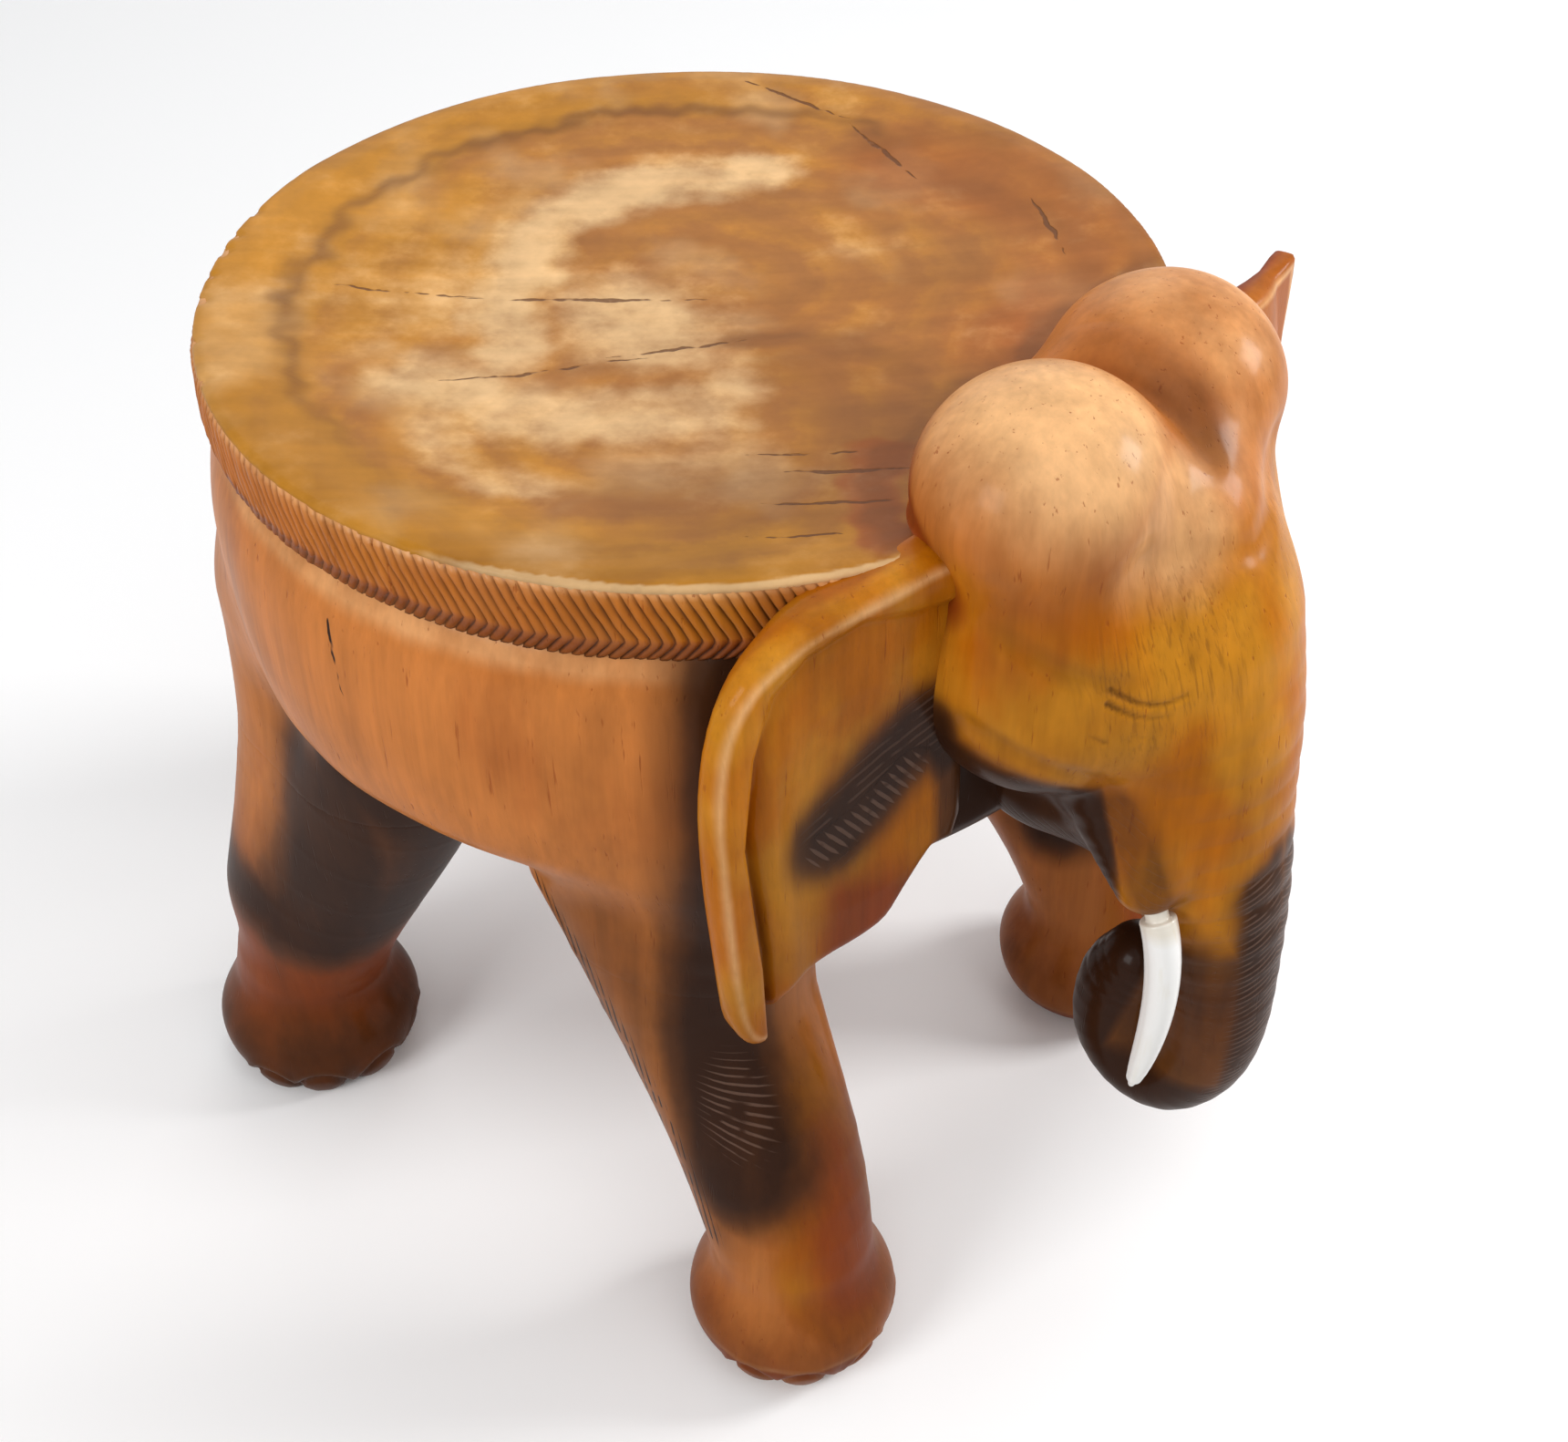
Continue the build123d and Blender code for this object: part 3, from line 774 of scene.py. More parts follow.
def seat_wood():
    """End grain: growth rings, streaks across them, checks, under the same tinted lacquer; the pale patches
    are partly wear and partly painted sheen, and the dark marks include painted shadow by the head.
    """
    wood = Finish("seat_wood", SEAT_BROWN, 0.1, 0.45, 0.05)
    hearts = [wood.vector("DISTANCE", wood.place, tuple(metres(heart))) for heart in HEARTS]
    cloud = wood.noise(7, detail=4)
    fine_cloud = wood.noise(34, detail=5, roughness=0.6)
    mottle = wood.noise(85, detail=4, roughness=0.6)
    streaks = wood.slanted_noise(150, (0, 0, STREAK_TURN), (14, 1, 1))
    broad_streaks = wood.slanted_noise(46, (0, 0, STREAK_TURN), (7, 1, 1))
    patches = wood.noise(20, detail=3, roughness=0.45)
    nearest = wood.sum("SMOOTH_MIN", *hearts, 0.03)
    nearest = wood.uneven(nearest, cloud, 0.09, wood.times(fine_cloud, 0.022))
    rings = wood.sum("SINE", wood.times(nearest, 2 * math.pi / RING_SPACING))
    fine_rings = wood.sum("SINE", wood.times(nearest, 2 * math.pi / FINE_RING_SPACING))

    gold = wood.uneven(wood.strength("gold"), fine_cloud, 1.1, -0.55)
    gold = wood.uneven(gold, rings, 0.1, wood.times(cloud, 0.3))
    wood.lay(SEAT_GOLD, wood.band(gold, 0.15, 1.0))
    wood.lay(SEAT_PALE, wood.times(wood.band(patches, 0.5, 0.7), 0.3))
    wood.lay(SEAT_RED, wood.band(wood.uneven(wood.strength("red"), cloud, 0.6, -0.3), 0.2, 1.1))
    worn = wood.uneven(wood.strength("worn"), fine_cloud, 1.5, -0.75)
    worn = wood.uneven(worn, mottle, 0.35, wood.scaled(broad_streaks, 0.7, -0.5))
    wood.lay(SEAT_PALE, wood.times(wood.band(worn, 0.05, 1.1), 0.82))
    shade = wood.scaled(mottle, 0.24, wood.scaled(rings, 0.03, 0.86))
    shade = wood.times(wood.scaled(fine_rings, 0.01, shade), wood.scaled(fine_cloud, 0.7, 0.65))
    wood.darken(wood.times(shade, wood.scaled(streaks, 0.34, 0.83)))
    burn = wood.uneven(wood.strength("burn"), broad_streaks, 0.7, -0.35)
    burn = wood.uneven(burn, fine_cloud, 0.4, -0.2)
    wood.lay(SEAT_DARK, wood.times(wood.band(burn, 0.0, 1.35), 0.8))
    checks = 0.0
    for start, end, width in CHECKS:
        checks = wood.sum("MAXIMUM", checks, wood.crack(on_dish(*start), on_dish(*end), width))
    checks = wood.times(checks, wood.band(mottle, 0.2, 0.45))
    wood.lay(SEAT_DARK, wood.times(checks, 0.85))
    height = wood.scaled(mottle, 0.2, wood.times(rings, 0.03))
    return wood.done(wood.sum("SUBTRACT", height, wood.times(checks, 0.8)), 0.0005)


seat, seat_places = carve("seat", seat_form, (-168, -168, 346), (168, 168, 370), 1.9)
flat = ragged(seat_places * [1, 1, 0] + [0, 0, STAIN_Z], 2.0)
flat_x, flat_y = flat[:, 0], flat[:, 1]
flat_reach = np.hypot(flat_x, flat_y)
seat_turn = np.degrees(np.arctan2(seat_places[:, 1], seat_places[:, 0]))


def run(route, radius):
    """A streak over the seat."""
    return streak(flat, [(x, y, STAIN_Z) for x, y in route], radius)


def patch(x, y, along_x, along_y):
    """A spot on the seat."""
    return spot(flat, (x, y, STAIN_Z), (along_x, along_y, 9))


# Pale patches: worn lacquer with a painted sheen over it.
worn_and_sheen_patches = strongest(
    0.85 * run([(-34, -58), (-57, -29), (-74, 8), (-73, 40), (-57, 68), (-36, 86)], 21),
    0.8 * patch(-8, -18, 50, 40),
    0.75 * run([(-40, -88), (0, -84), (24, -66), (40, -40)], 26),
    0.5 * run([(-30, -100), (-4, -116), (30, -116)], 16),
    0.45 * patch(52, -66, 40, 26),
    0.3 * patch(-84, -52, 50, 60),
)
HEART_RING_R = 136.5
ring_open = np.clip(2.1 - np.abs((seat_turn + 350) % 360 - 165) / 52, 0, 1)
heart_ring = bell(flat_reach, HEART_RING_R, 5) * ring_open
# Painted shadow along the head's foot and on the dish before it; the last three darken the dish towards its
# rim.
head_shadow_and_dark_edges = strongest(
    0.8 * run([(120, 108), (113, 74), (111, 35), (106, 0), (107, -30), (113, -50), (136, -76)], 13),
    0.62 * run([(30, -6), (48, 9), (66, 12), (92, 4), (106, -8)], 12),
    0.55 * run([(52, -10), (84, -18), (104, -34)], 34),
    0.55 * run([(60, -96), (92, -70), (112, -44)], 34),
    0.45 * run([(-20, 132), (20, 118), (60, 120), (100, 92)], 12),
    0.42 * run([(-70, -138), (-10, -154), (50, -146), (100, -118)], 24),
    0.4 * ramp(flat_reach, 150, 162) * ramp(flat_y + 0.4 * flat_x, 20, 80),
)
golden = ramp(flat_reach, 126, 140) * np.clip(0.7 - (flat_x + flat_y) / 220, 0, 1)
seat_reach = np.hypot(seat_places[:, 0], seat_places[:, 1])
# A painted highlight along the near right edge of the rim.
lit_rim_edge = np.clip(seat_reach - 162.6, 0, 1) * ramp(flat_x, 24, 54) * (flat_y < 0)
gold = 0.2 + 0.6 * golden + 0.5 * patch(-100, -40, 70, 90) + 0.3 * patch(-7, -104, 60, 30)
red = 0.6 * run([(10, 122), (60, 128), (96, 104), (112, 60)], 46)
red = red + 1.4 * run([(104, -36), (112, -50), (132, -76)], 12) + 0.3 * patch(60, 20, 80, 70) + 0.15
store_stains_and_light(
    seat,
    gold=np.clip(gold, 0, 1),
    red=np.clip(red, 0, 1),
    worn=np.clip(worn_and_sheen_patches + 1.5 * lit_rim_edge, 0, 2),
    burn=np.clip(0.85 * heart_ring + head_shadow_and_dark_edges, 0, 1),
)
seat.data.materials.append(seat_wood())
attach(seat, "root")
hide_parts("carved_block")

# ------------------------------------------------------------------------------------------------
# Rim band: two rows of slanting gouge cuts that meet in a fishbone, cut into the log just under the
# seat's edge. One cut is modelled, and it is set round the rim 272 times.
GOUGE_CUTS = 272
BAND_FACE = [  # height, radius, gouge depth, and how far round the cut has leant, in millimetres
    (365.0, 162.4, 0.0, 0.0),
    (364.2, 164.4, 0.3, 0.3),
    (362.0, 165.6, 1.0, 1.4),
    (358.0, 165.9, 1.5, 3.4),
    (352.5, 166.0, 1.6, 6.2),
    (347.8, 166.0, 1.3, 8.6),
    (346.0, 165.8, 1.0, 9.0),
    (344.0, 165.4, 1.2, 7.8),
    (339.5, 164.0, 1.3, 4.6),
    (335.5, 161.2, 1.1, 1.8),
    (332.0, 157.8, 0.4, 0.0),
    (329.0, 154.6, 0.0, -1.0),
]
CUT_ACROSS = [(0.0, 0.0), (0.3, 0.06), (0.52, 1.0), (0.7, 0.1), (1.0, 0.0)]  # place and depth, as shares
BAND_INNER_R = 149.0
BAND_TOP_Z, BAND_MIDDLE_Z, BAND_LOW_Z = 362.0, 345.0, 329.0
FULL_CUT = 1.4  # a cut this deep takes the whole of its painted shade
UNEVENNESS = 0.0016  # metres
WELD = 0.00004

cut_places, cut_depths = [], []
rows = [(BAND_TOP_Z, BAND_INNER_R, 0.0, 0.0), *BAND_FACE, (BAND_LOW_Z, BAND_INNER_R, 0.0, -1.0)]
for z, radius, depth, lean in rows:
    for across, share in CUT_ACROSS:
        turn = 2 * math.pi / GOUGE_CUTS * across + lean / SEAT_R
        reach = radius - depth * share
        cut_places.append((reach * math.cos(turn) / 1000, reach * math.sin(turn) / 1000, z / 1000))
        cut_depths.append(min(1.0, depth * share / FULL_CUT))
cut_faces = []
for row in range(len(rows)):
    for column in range(len(CUT_ACROSS) - 1):
        a = row * len(CUT_ACROSS) + column
        b = (row + 1) % len(rows) * len(CUT_ACROSS) + column
        cut_faces.append((a, b, b + 1, a + 1))
cut_mesh = bpy.data.meshes.new("rim_band")
cut_mesh.from_pydata(cut_places, [], cut_faces)
# Painted shade in each gouge, darkest where the cut is deepest.
cut_mesh.attributes.new("cut", "FLOAT", "POINT").data.foreach_set("value", cut_depths)
rim_band = bpy.data.objects.new("rim_band", cut_mesh)
bpy.context.scene.collection.objects.link(rim_band)

row_of_cuts = bpy.data.node_groups.new("row_of_cuts", "GeometryNodeTree")
face = row_of_cuts.interface
face.new_socket("Geometry", in_out="INPUT", socket_type="NodeSocketGeometry")
settings_given = [  # name, kind and value
    ("Cuts", "Int", GOUGE_CUTS),
    ("Axis", "Vector", tuple(SEAT_AXIS)),
    ("Unevenness", "Float", UNEVENNESS),
    ("Wood", "Material", WOOD),
]
sockets = [
    face.new_socket(name, in_out="INPUT", socket_type="NodeSocket" + kind)
    for name, kind, value in settings_given
]
face.new_socket("Geometry", in_out="OUTPUT", socket_type="NodeSocketGeometry")


def band_node(kind, operation=None, *values, **links):
    """First outlet of a node in the rim band's tree."""
    return wire(row_of_cuts, kind, operation and {"operation": operation}, values, **links).outputs[0]


given = wire(row_of_cuts, "NodeGroupInput").outputs
stations = band_node("GeometryNodePoints", Count=given["Cuts"], Position=given["Axis"])
step_round = band_node("ShaderNodeMath", "DIVIDE", 2 * math.pi, given["Cuts"])
round_rim = band_node("ShaderNodeMath", "MULTIPLY", band_node("GeometryNodeInputIndex"), step_round)
facing = band_node("FunctionNodeEulerToRotation", Euler=band_node("ShaderNodeCombineXYZ", Z=round_rim))
placed = band_node(
    "GeometryNodeInstanceOnPoints", Points=stations, Instance=given["Geometry"], Rotation=facing
)
made_real = band_node("GeometryNodeRealizeInstances", Geometry=placed)
joined = band_node("GeometryNodeMergeByDistance", Geometry=made_real, Distance=WELD)
wander = wire(row_of_cuts, "ShaderNodeTexNoise", Scale=230.0, Detail=2.0).outputs["Color"]
centred = band_node("ShaderNodeVectorMath", "SUBTRACT", wander, (0.5, 0.5, 0.5))
scaled = band_node("ShaderNodeVectorMath", "SCALE", centred, Scale=given["Unevenness"])
uneven = band_node("GeometryNodeSetPosition", Geometry=joined, Offset=scaled)
smooth = band_node("GeometryNodeSetShadeSmooth", Geometry=uneven)
stained = band_node("GeometryNodeSetMaterial", Geometry=smooth, Material=given["Wood"])
wire(row_of_cuts, "NodeGroupOutput", Geometry=stained)

setting_out = rim_band.modifiers.new("row_of_cuts", "NODES")
setting_out.node_group = row_of_cuts
for socket, (name, kind, value) in zip(sockets, settings_given):
    setting_out[socket.identifier] = value
seen = rim_band.evaluated_get(bpy.context.evaluated_depsgraph_get())
band_mesh = bpy.data.meshes.new_from_object(seen)
rim_band.modifiers.clear()
rim_band.data = band_mesh
band_places = np.empty(len(band_mesh.vertices) * 3, np.float32)
band_mesh.vertices.foreach_get("co", band_places)
band_places = (band_places.reshape(-1, 3) - SEAT_AXIS) * 1000
band_places[:, :2] *= 1 + (out_of_round(band_places) / SEAT_R)[:, None]
band_mesh.vertices.foreach_set("co", metres(band_places).astype(np.float32).ravel())
band_z = band_places[:, 2]
upper = ramp(band_z, BAND_MIDDLE_Z, BAND_MIDDLE_Z + 3)
# The band's top edge is paler: wear with a painted highlight. The lower row is redder and darker, and the
# band's foot, where it meets the body, takes painted shade.
store_stains_and_light(
    rim_band,
    worn=ramp(band_z, 361, 364) * 0.5 + 0.25 * upper,
    gold=0.35 * upper,
    red=0.4 + 0.3 * (1 - upper),
    burn=np.clip(0.3 * (1 - upper) + 0.7 * ramp(band_z, 339, 335), 0, 1),
    **{name: np.zeros(len(band_z)) for name in ("stroke", "stroke_turn", "stroke_tint")},
)
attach(rim_band, "root")
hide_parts("carved_block")

# ------------------------------------------------------------------------------------------------
# Head and trunk: two domes over a broad face with closed eyes, cheeks over a burnt jaw, and the trunk
# curled back under itself. A short sheath on each side of the trunk takes a tusk.
DOME = ((161.5, 36.5, 378), (36, 38.5, 31.5))
LEFT_DOME_LOWER = 5.0
CHEEK = ([(161.5, 36, 366), (168, 33, 306)], [35, 38])
FOREHEAD = ((164, 0, 350), (52.5, 42, 38))
FACE = ((158, 0, 312), (58, 68, 56))
JAW = ((163, 0, 258), (46, 40, 42))
TRUNK = (
    [(190.5, 0, 309), (199, 0, 285), (208, 0, 250), (221, 0, 215), (229, 0, 180), (231.5, 0, 150),
     (227.5, 0, 129), (217.5, 0, 115), (205.5, 0, 115), (196.5, 0, 127), (195.5, 0, 146), (200, 0, 160)],
    [44, 41, 35, 27, 21.5, 18.8, 18.4, 18.3, 18.2, 17.8, 16.6, 14],
)
SHEATH = ([(200, 28, 264), (207, 31, 250), (213.6, 34.2, 237.6)], [20, 16, 11.8])
TRUNK_TOP_Z = 236.0
FINE = 2  # a crease narrower than this is a knife cut
CREASES = [  # route, half width, depth
    ([(202, 42, 366), (208, 29, 362), (214, 14, 358), (217, 0, 355)], 5.5, 1.7),
    ([(150, 0, 392), (168, 0, 392), (184, 0, 388), (199, 0, 380)], 4.5, 1.6),
    ([(149, 71, 356), (151, 76, 334), (153, 79, 308), (158, 76, 286)], 3.5, 2.2),
    ([(170, 75, 346), (182, 69, 340), (193, 61, 332), (203, 51, 327)], 4.0, 1.5),
    ([(200, 53, 326), (205, 48, 321), (210, 42, 319), (214, 36, 321)], 1.1, 1.3),
    ([(200, 55, 322), (205, 49, 316.5), (210, 42, 314.5), (214, 35, 316)], 1.0, 1.0),
    ([(164, 73, 309), (176, 72, 305), (189, 65, 298), (199, 53, 289), (204, 45, 275), (211, 45, 259)],
     4.0, 1.2),
    ([(196, 59, 311), (200, 56, 308)], 0.9, 0.7),
    ([(200, 54, 310), (204, 50, 307)], 0.9, 0.7),
    ([(205, 49, 309), (209, 44, 306.5)], 0.9, 0.7),
    ([(210, 42, 309), (213, 38, 306.5)], 0.9, 0.7),
]


def from_crease(q, route, width):
    """Distance from a crease; for a knife cut, how far forward it lies counts for little."""
    weight = np.float32((0.3 if width < FINE else 1, 1, 1))
    return limb(q * weight, [tuple(weight * place) for place in route], [0.0] * len(route), 2)


def under_seat(q):
    """Wood just under the seat's own surface by the head, which the domes meet in a small fillet."""
    reach = np.sqrt(q[:, 0] ** 2 + q[:, 1] ** 2)
    top = keep(q[:, 2] - dished(q) + 1.4, reach - 158, 3)
    return keep(keep(top, np.maximum(104 - q[:, 0], q[:, 1] - 78), 3), SEAT_SLAB_Z - q[:, 2], 2)


def head_form(p):
    p = p.astype(np.float32)
    q = folded(p)
    down = np.clip(p[:, 1] / 16, 0, 1) * ramp(q[:, 2], 350, 380)
    lowered = q + np.float32((0, 0, LEFT_DOME_LOWER)) * down[:, None]
    head = merge(egg(lowered, *DOME), limb(q, *CHEEK), 14)
    for other, fillet in (
        (egg(q, *FOREHEAD), 14), (egg(q, *FACE), 22), (egg(q, *JAW), 10),
        (limb(q, *TRUNK), 18), (limb(q, *SHEATH), 8), (under_seat(q), 5),
    ):
        head = merge(head, other, fillet)
    for route, width, depth in CREASES:
        head = head + depth * bell(from_crease(q, route, width), 0, width)
    return head + hand_waves(p, 0.4)


def head_stains_and_light(p):
    q = folded(p)
    x, out, z = q.T
    jaw_line = np.interp(x, [150, 176, 189, 199, 205, 212], [312, 303, 296, 287, 270, 250])
    jaw = ramp(jaw_line - z, 0, 14) * ramp(x, 213, 205) * (z > 208)
    front = streak(q, [(240, 12, 252), (245, 8, 222), (248, 6, 176), (248, 5, 131), (234, 5, 102)], 19)
    front = front * ramp(z + 0.9 * out, 262, 246)
    # The curl's underside and the inside of its hook are dark: partly burnt, partly painted shade.
    curl_burn_and_shade = strongest(ramp(z, 146, 124), ramp(x - 0.2 * (z - 150), 212, 202) * (z < 190))
    low_trunk = 0.66 * ramp(z, 222, 200) * (x > 196)
    # Painted shade in the crevice between the ear's root and the cheek.
    crevice_shade = strongest(
        streak(q, [(150, 74, 340), (151, 78, 322), (152, 80, 308)], 6),
        streak(q, [(152, 79, 302), (158, 74, 280), (166, 62, 262)], 16),
    )
    sheath = streak(q, [(206, 45, 272), (214, 44, 254), (220, 42, 238), (222, 38, 230)], 15)
    # Painted shade in the groove between the domes.
    shade_between_domes = 0.42 * streak(p, [(138, 18, 376), (158, 13, 388), (180, 8, 388), (198, 3, 382)], 17)
    scratches = front * ramp(z, 246, 236)
    dashes = streak(q, [(236, 20, 224), (240, 20, 186), (240, 17, 140)], 7) * (1 - scratches)
    jaw_cuts = jaw * ramp(z, 252, 238)
    low = ramp(z, 318, 278)
    # Painted shade in the broad creases, darker in the knife cuts round the eyes.
    creases = strongest(*(
        (0.75 if width < FINE else 0.25) * np.clip(1.5 - from_crease(q, route, width) / width, 0, 1)
        for route, width, depth in CREASES[3:]
    ))
    # The dome tops are paler: wear, with a painted highlight over their fronts, weaker on the far dome.
    lit_and_worn_domes = strongest(spot(q, (168, 42, 394), (62, 50, 42)), 0.75 * spot(q, (200, 26, 372), (40, 40, 40)))
    red = 0.55 * spot(q, (176, 66, 342), (34, 24, 40))
    red = red + 0.5 * streak(q, [(130, 6, 400), (170, 10, 402), (196, 8, 388)], 16)
    red = red + 1.1 * streak(p, [(130, -50, 386), (132, -58, 370), (140, -70, 362), (148, -76, 348)], 15)
    red = red + 0.5 * streak(q, [(118, 14, 374), (120, 44, 370)], 14) + 0.25 * low
    burn = strongest(jaw, 0.92 * front, curl_burn_and_shade, low_trunk, 0.5 * sheath, crevice_shade, shade_between_domes)
    return {
        "gold": np.clip(0.2 + 0.8 * ramp(z, 380, 336) - 0.3 * low, 0, 1),
        "red": np.clip(red, 0, 1),
        "worn": 1.1 * lit_and_worn_domes * (1 - 0.45 * np.clip(p[:, 1] / 10, 0, 1)),
        "burn": np.clip(burn, 0, 1),
        "cut": creases,
        "combed": spot(q, (210, 36, 328), (34, 36, 44)),
        **strongest_stroke(
            (0.8 * scratches, (z + 0.45 * out) / 2.8, 1.0),
            (0.6 * dashes, z / 3.0, 0.9),
            (0.8 * jaw_cuts, (x + out + 0.2 * z) / 3.6, 0.1),
            (0.5 * sheath, (z + 0.8 * x) / 3.4, 1.0),
        ),
    }


def head_alone(p):
    """Head down to the root of the trunk."""
    return part_of(head_form, p, TRUNK_TOP_Z, 1, 0.7, 4)


def trunk_alone(p):
    return part_of(head_form, p, TRUNK_TOP_Z, -1, 0.7, 4)


for name, form, low, high, step in (
    ("head", head_alone, (96, -88, 228), (248, 88, 414), 1.15),
    ("trunk", trunk_alone, (116, -54, 90), (256, 54, 244), 0.85),
):
    carving, carving_places = carve(name, form, low, high, step)
    lacquer(carving, carving_places, **head_stains_and_light(carving_places))

# ------------------------------------------------------------------------------------------------
# Ears: broad flaps that stand out from the head, each with a rounded lip down its outer edge that
# ends in a long lobe, a deep fold behind the lip, a burnt hollow by the head, and painted shade where the
# ear meets the head.
EAR_BACK = -16.0
EAR_LOWER_EDGE = [
    (75.5, 228), (73, 211), (69, 201), (62.5, 197), (57.5, 199), (51, 208),
    (37, 214), (20, 216), (9, 220), (1, 231), (-8, 243), (-20, 254),
]
EARS = [  # name, side, degrees swept back, stain of gold and red, lattice corners, outline out and up
    ("ear_right", -1, 19.0, 1.0, 0.0, (96, -172, 192), (176, -58, 370),
     [(-14, 366), (3, 366), (39, 362), (52, 358), (66, 350), (76, 334), (80, 310), (80, 285), (78, 256)]),
    ("ear_left", 1, 4.0, 0.5, 0.45, (112, 60, 192), (176, 172, 370),
     [(-14, 348), (3, 349), (39, 350), (60, 351), (76, 351), (88, 351.5), (90, 350), (91, 338),
      (90, 310), (87, 280), (80, 252)]),
]
FOLD = [
    (-16, 346), (6, 349), (25, 354), (44, 350), (55, 341), (61, 322),
    (65, 289), (62, 259), (59, 232), (58, 207), (57, 190),
]


def from_edge(u, v, start, end):
    """Squared distance to an edge, and a number that is above nought on its left-hand side."""
    (au, av), (bu, bv) = start, end
    eu, ev = bu - au, bv - av
    t = np.clip(((u - au) * eu + (v - av) * ev) / (eu * eu + ev * ev), 0, 1)
    return (u - au - t * eu) ** 2 + (v - av - t * ev) ** 2, eu * (v - av) - ev * (u - au)


def inside_outline(u, v, outline):
    """Signed distance to a closed outline."""
    corners = np.asarray(outline, np.float32)
    nearest = np.full(u.shape, 1e9, np.float32)
    sign = np.ones(u.shape, np.float32)
    for start, end in zip(corners, np.roll(corners, 1, axis=0)):
        gap, left = from_edge(u, v, start, end)
        nearest = np.minimum(nearest, gap)
        above, below, left = v >= start[1], v < end[1], left > 0
        crossed = (above & below & left) | (~above & ~below & ~left)
        sign = np.where(crossed, -sign, sign)
    return sign * np.sqrt(nearest)


def beside(u, v, route):
    """Distance to an open route, negative on its right-hand side."""
    nearest = np.full(u.shape, 1e9, np.float32)
    side = np.zeros(u.shape, np.float32)
    for start, end in zip(route[:-1], route[1:]):
        gap, left = from_edge(u, v, start, end)
        side = np.where(gap < nearest, np.sign(left), side)
        nearest = np.minimum(nearest, gap)
    return side * np.sqrt(nearest)


for name, side, swept, gold, redder, ear_low, ear_high, upper_edge in EARS:
    sweep = math.radians(swept)
    corners = [(u, v, 0) for u, v in upper_edge + EAR_LOWER_EDGE + upper_edge[:1]]
    outline = smooth_route(corners, [0.0] * len(corners))[:-1, :2]

    def by_ear(p):
        """Places outward along the ear, out of its front face, and up."""
        x, y = p[:, 0] - EAR_ROOT[0], side * p[:, 1] - EAR_ROOT[1]
        u = y * math.cos(sweep) - x * math.sin(sweep)
        w = x * math.cos(sweep) + y * math.sin(sweep)
        return u, w, p[:, 2]

    def ear_form(p):
        p = p.astype(np.float32)
        u, w, v = by_ear(p)
        lip = beside(u, v, FOLD)
        raised = np.clip((lip + 1) / 5, 0, 1)
        crown = np.clip(1 - ((lip - 9) / 10) ** 2, 0, 1)
        low_down = ramp(v, 345, 285)
        front = 0.6 + raised * (1.4 + 2.2 * low_down + 2.0 * crown)
        front = front - (0.4 + 3.8 * low_down) * bell(lip, 0, 2.2)
        front = front - 6 * ramp(v, 216, 204) * bell(lip, 0, 1.6)
        front = front + 1.6 * bell(lip, -9, 6) * low_down
        front = front - 2.2 * spot(np.column_stack([u, v, v * 0]), (22, 282, 0), (44, 46, 1))
        slab = keep(w - front, EAR_BACK + 9 * ramp(u, 35, 75) - w, 2)
        rounding = 6.5 - 4 * ramp(np.hypot(u, v - 280), 96, 110)
        return keep(inside_outline(u, v, outline), slab, rounding) + hand_waves(p, 0.3)

    ear, ear_places = carve(name, ear_form, ear_low, ear_high, 1.0)
    u, w, v = by_ear(ear_places)
    lip = beside(u, v, FOLD)
    in_front = ramp(w, -6, -2)
    behind = 1 - in_front
    local = np.column_stack([u, v, u * 0])
    oval = strongest(
        streak(local, [(30, 271, 0), (20, 281, 0), (9, 292, 0), (-4, 301, 0)], 27),
        0.6 * spot(local, (-6, 300, 0), (10, 30, 1)),
    ) * in_front
    grey = streak(local, [(36, 266, 0), (20, 272, 0), (2, 284, 0)], 10) * in_front
    red = ramp(v - 0.35 * u, 262, 232) * ramp(u, 46, 30) * in_front
    fold_shade = bell(lip, 0, 2.6) * in_front * np.clip((350 - v) / 50, 0.15, 1)
    # Painted shade on the ear where it meets the face.
    shade_by_face = 0.7 * ramp(u, -4, -10) * ramp(v, 330, 290) * in_front
    edge = inside_outline(u, v, outline)
    lacquer(
        ear, ear_places,
        gold=np.full(len(u), gold),
        red=np.clip(redder + 0.95 * red + 0.6 * fold_shade + 0.55 * behind, 0, 1),
        worn=0.8 * np.clip(1 - np.abs(edge + 3.5) / 3.5, 0, 1) * (lip > 0) * in_front,
        burn=np.clip(0.97 * oval + 0.25 * fold_shade + 0.35 * behind * ramp(v, 345, 295) + shade_by_face, 0, 1),
        combed=0.2 * in_front,
        cut=0.5 * fold_shade * ramp(v, 300, 240),
        stroke=strongest(0.8 * oval * (1 - grey), grey),
        stroke_turn=np.where(grey > 0.3, (u * 0.75 - v * 0.6) / 3.2, (v * 0.8 + 0.35 * u) / 3.4),
        stroke_tint=np.where(grey > 0.3, 1.0, 0.55),
    )

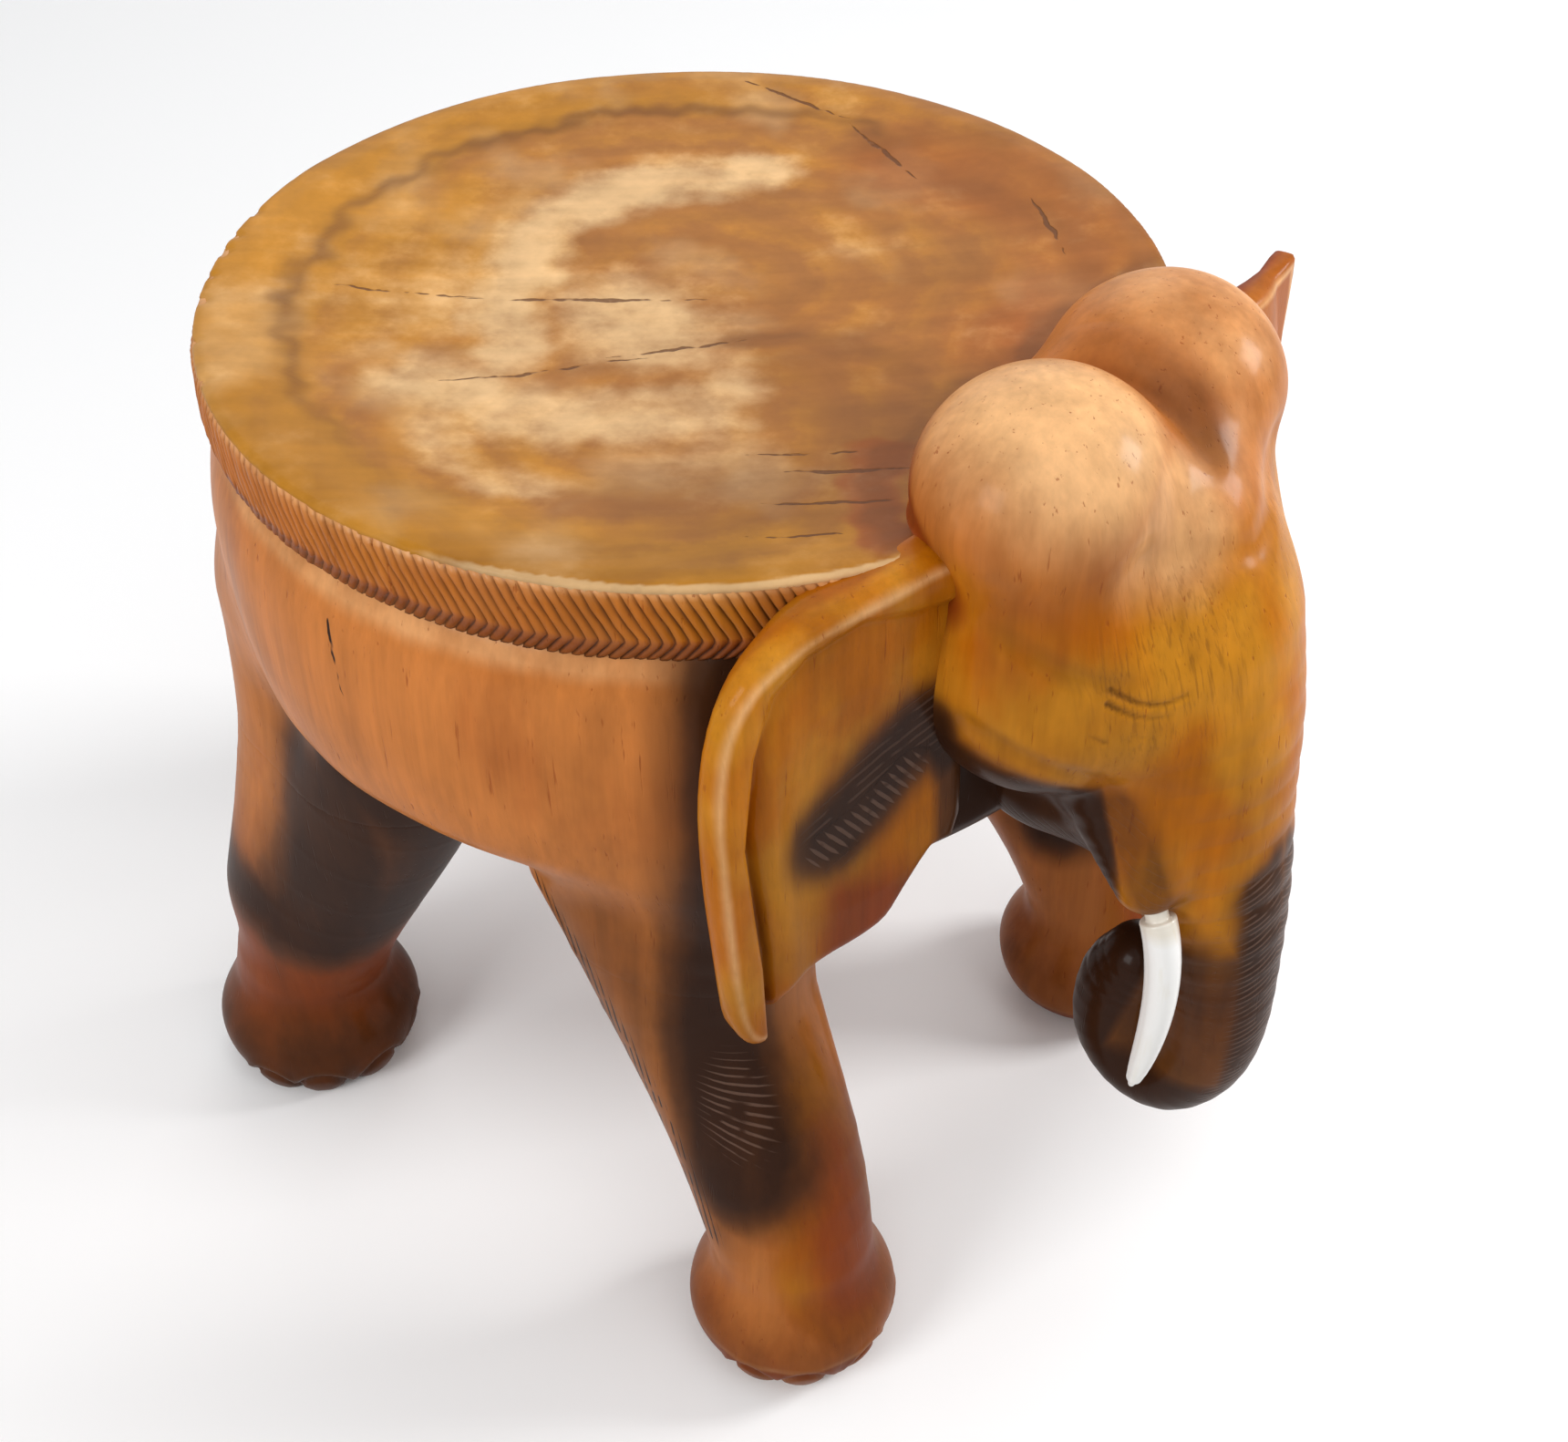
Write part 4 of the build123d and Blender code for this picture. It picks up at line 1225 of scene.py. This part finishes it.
# ------------------------------------------------------------------------------------------------
# Tusks: two smooth white tusks, turned and bent to shape, each glued into its sheath by a round
# tenon. The white yellows a little at the root.
TUSK_ROOT = Vector((220.1, 36.5, 224.8))
TUSK_ALONG = Vector((0.44, 0.156, -0.885)).normalized()
TUSK_DROP = 70.0
TUSK_TIP = TUSK_ROOT + Vector((5, 11.5, -TUSK_DROP))
TUSK_R = 6.3
TUSK_TIP_R = 1.2
TENON_R = 4.0
TENON_LENGTH = 15.0
TUSK_PULL = 0.34  # how far the root's direction holds, as a share of the tusk's drop
TUSK_HOOK = Vector((3, -4, 21))
TUSK_RINGS = 18

bends = [TUSK_ROOT, TUSK_ROOT + TUSK_ALONG * TUSK_PULL * TUSK_DROP, TUSK_TIP + TUSK_HOOK, TUSK_TIP]
tusk_line, tusk_radii = [], []
for i in range(TUSK_RINGS + 1):
    t = i / TUSK_RINGS
    weights = ((1 - t) ** 3, 3 * t * (1 - t) ** 2, 3 * t * t * (1 - t), t**3)
    tusk_line.append(tuple(sum((bend * weight for bend, weight in zip(bends, weights)), Vector())))
    tusk_radii.append(TUSK_TIP_R + (TUSK_R - TUSK_TIP_R) * math.sqrt(max(0.0, 1 - t * t)))
tenon = [tuple(TUSK_ROOT - TUSK_ALONG * TENON_LENGTH), tuple(TUSK_ROOT + TUSK_ALONG * 3)]


def tusk_form(p):
    q = p.astype(np.float32)
    behind = (q - np.float32(TUSK_ROOT)) @ np.float32(TUSK_ALONG)
    tusk = keep(limb(q, tusk_line, tusk_radii, 1), -behind, 0.6)
    peg = keep(limb(q, tenon, [TENON_R, TENON_R], 1), -behind - TENON_LENGTH, 0.6)
    return np.minimum(tusk, peg)


TUSK_WHITE = (0.95, 0.945, 0.925)
TUSK_CREAM = (0.86, 0.82, 0.72)
TUSK_YELLOW = (0.7, 0.6, 0.42)


def tusk_white():
    """White, smooth and glossy, faintly cream and streaked along its length."""
    white = Finish("tusk_white", TUSK_WHITE, 0.4, 0.28, 0.5)
    streaks = white.noise(300, (1, 1, 0.05), detail=2)
    white.lay(TUSK_CREAM, white.band(streaks, 0.52, 0.85))
    white.lay(TUSK_YELLOW, white.times(white.strength("root"), 0.5))
    return white.done(white.times(streaks, 0.1), 0.0002)


tusk_finish = tusk_white()
for name, side in (("tusk_right", -1), ("tusk_left", 1)):
    tusk, places = carve("white_" + name, tusk_form, (206, 26, 150), (238, 58, 246), 0.55, side)
    store_stains_and_light(tusk, root=ramp(places[:, 2], 219, 224))
    tusk.data.materials.append(tusk_finish)
    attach(tusk, "root")
    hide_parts(name)
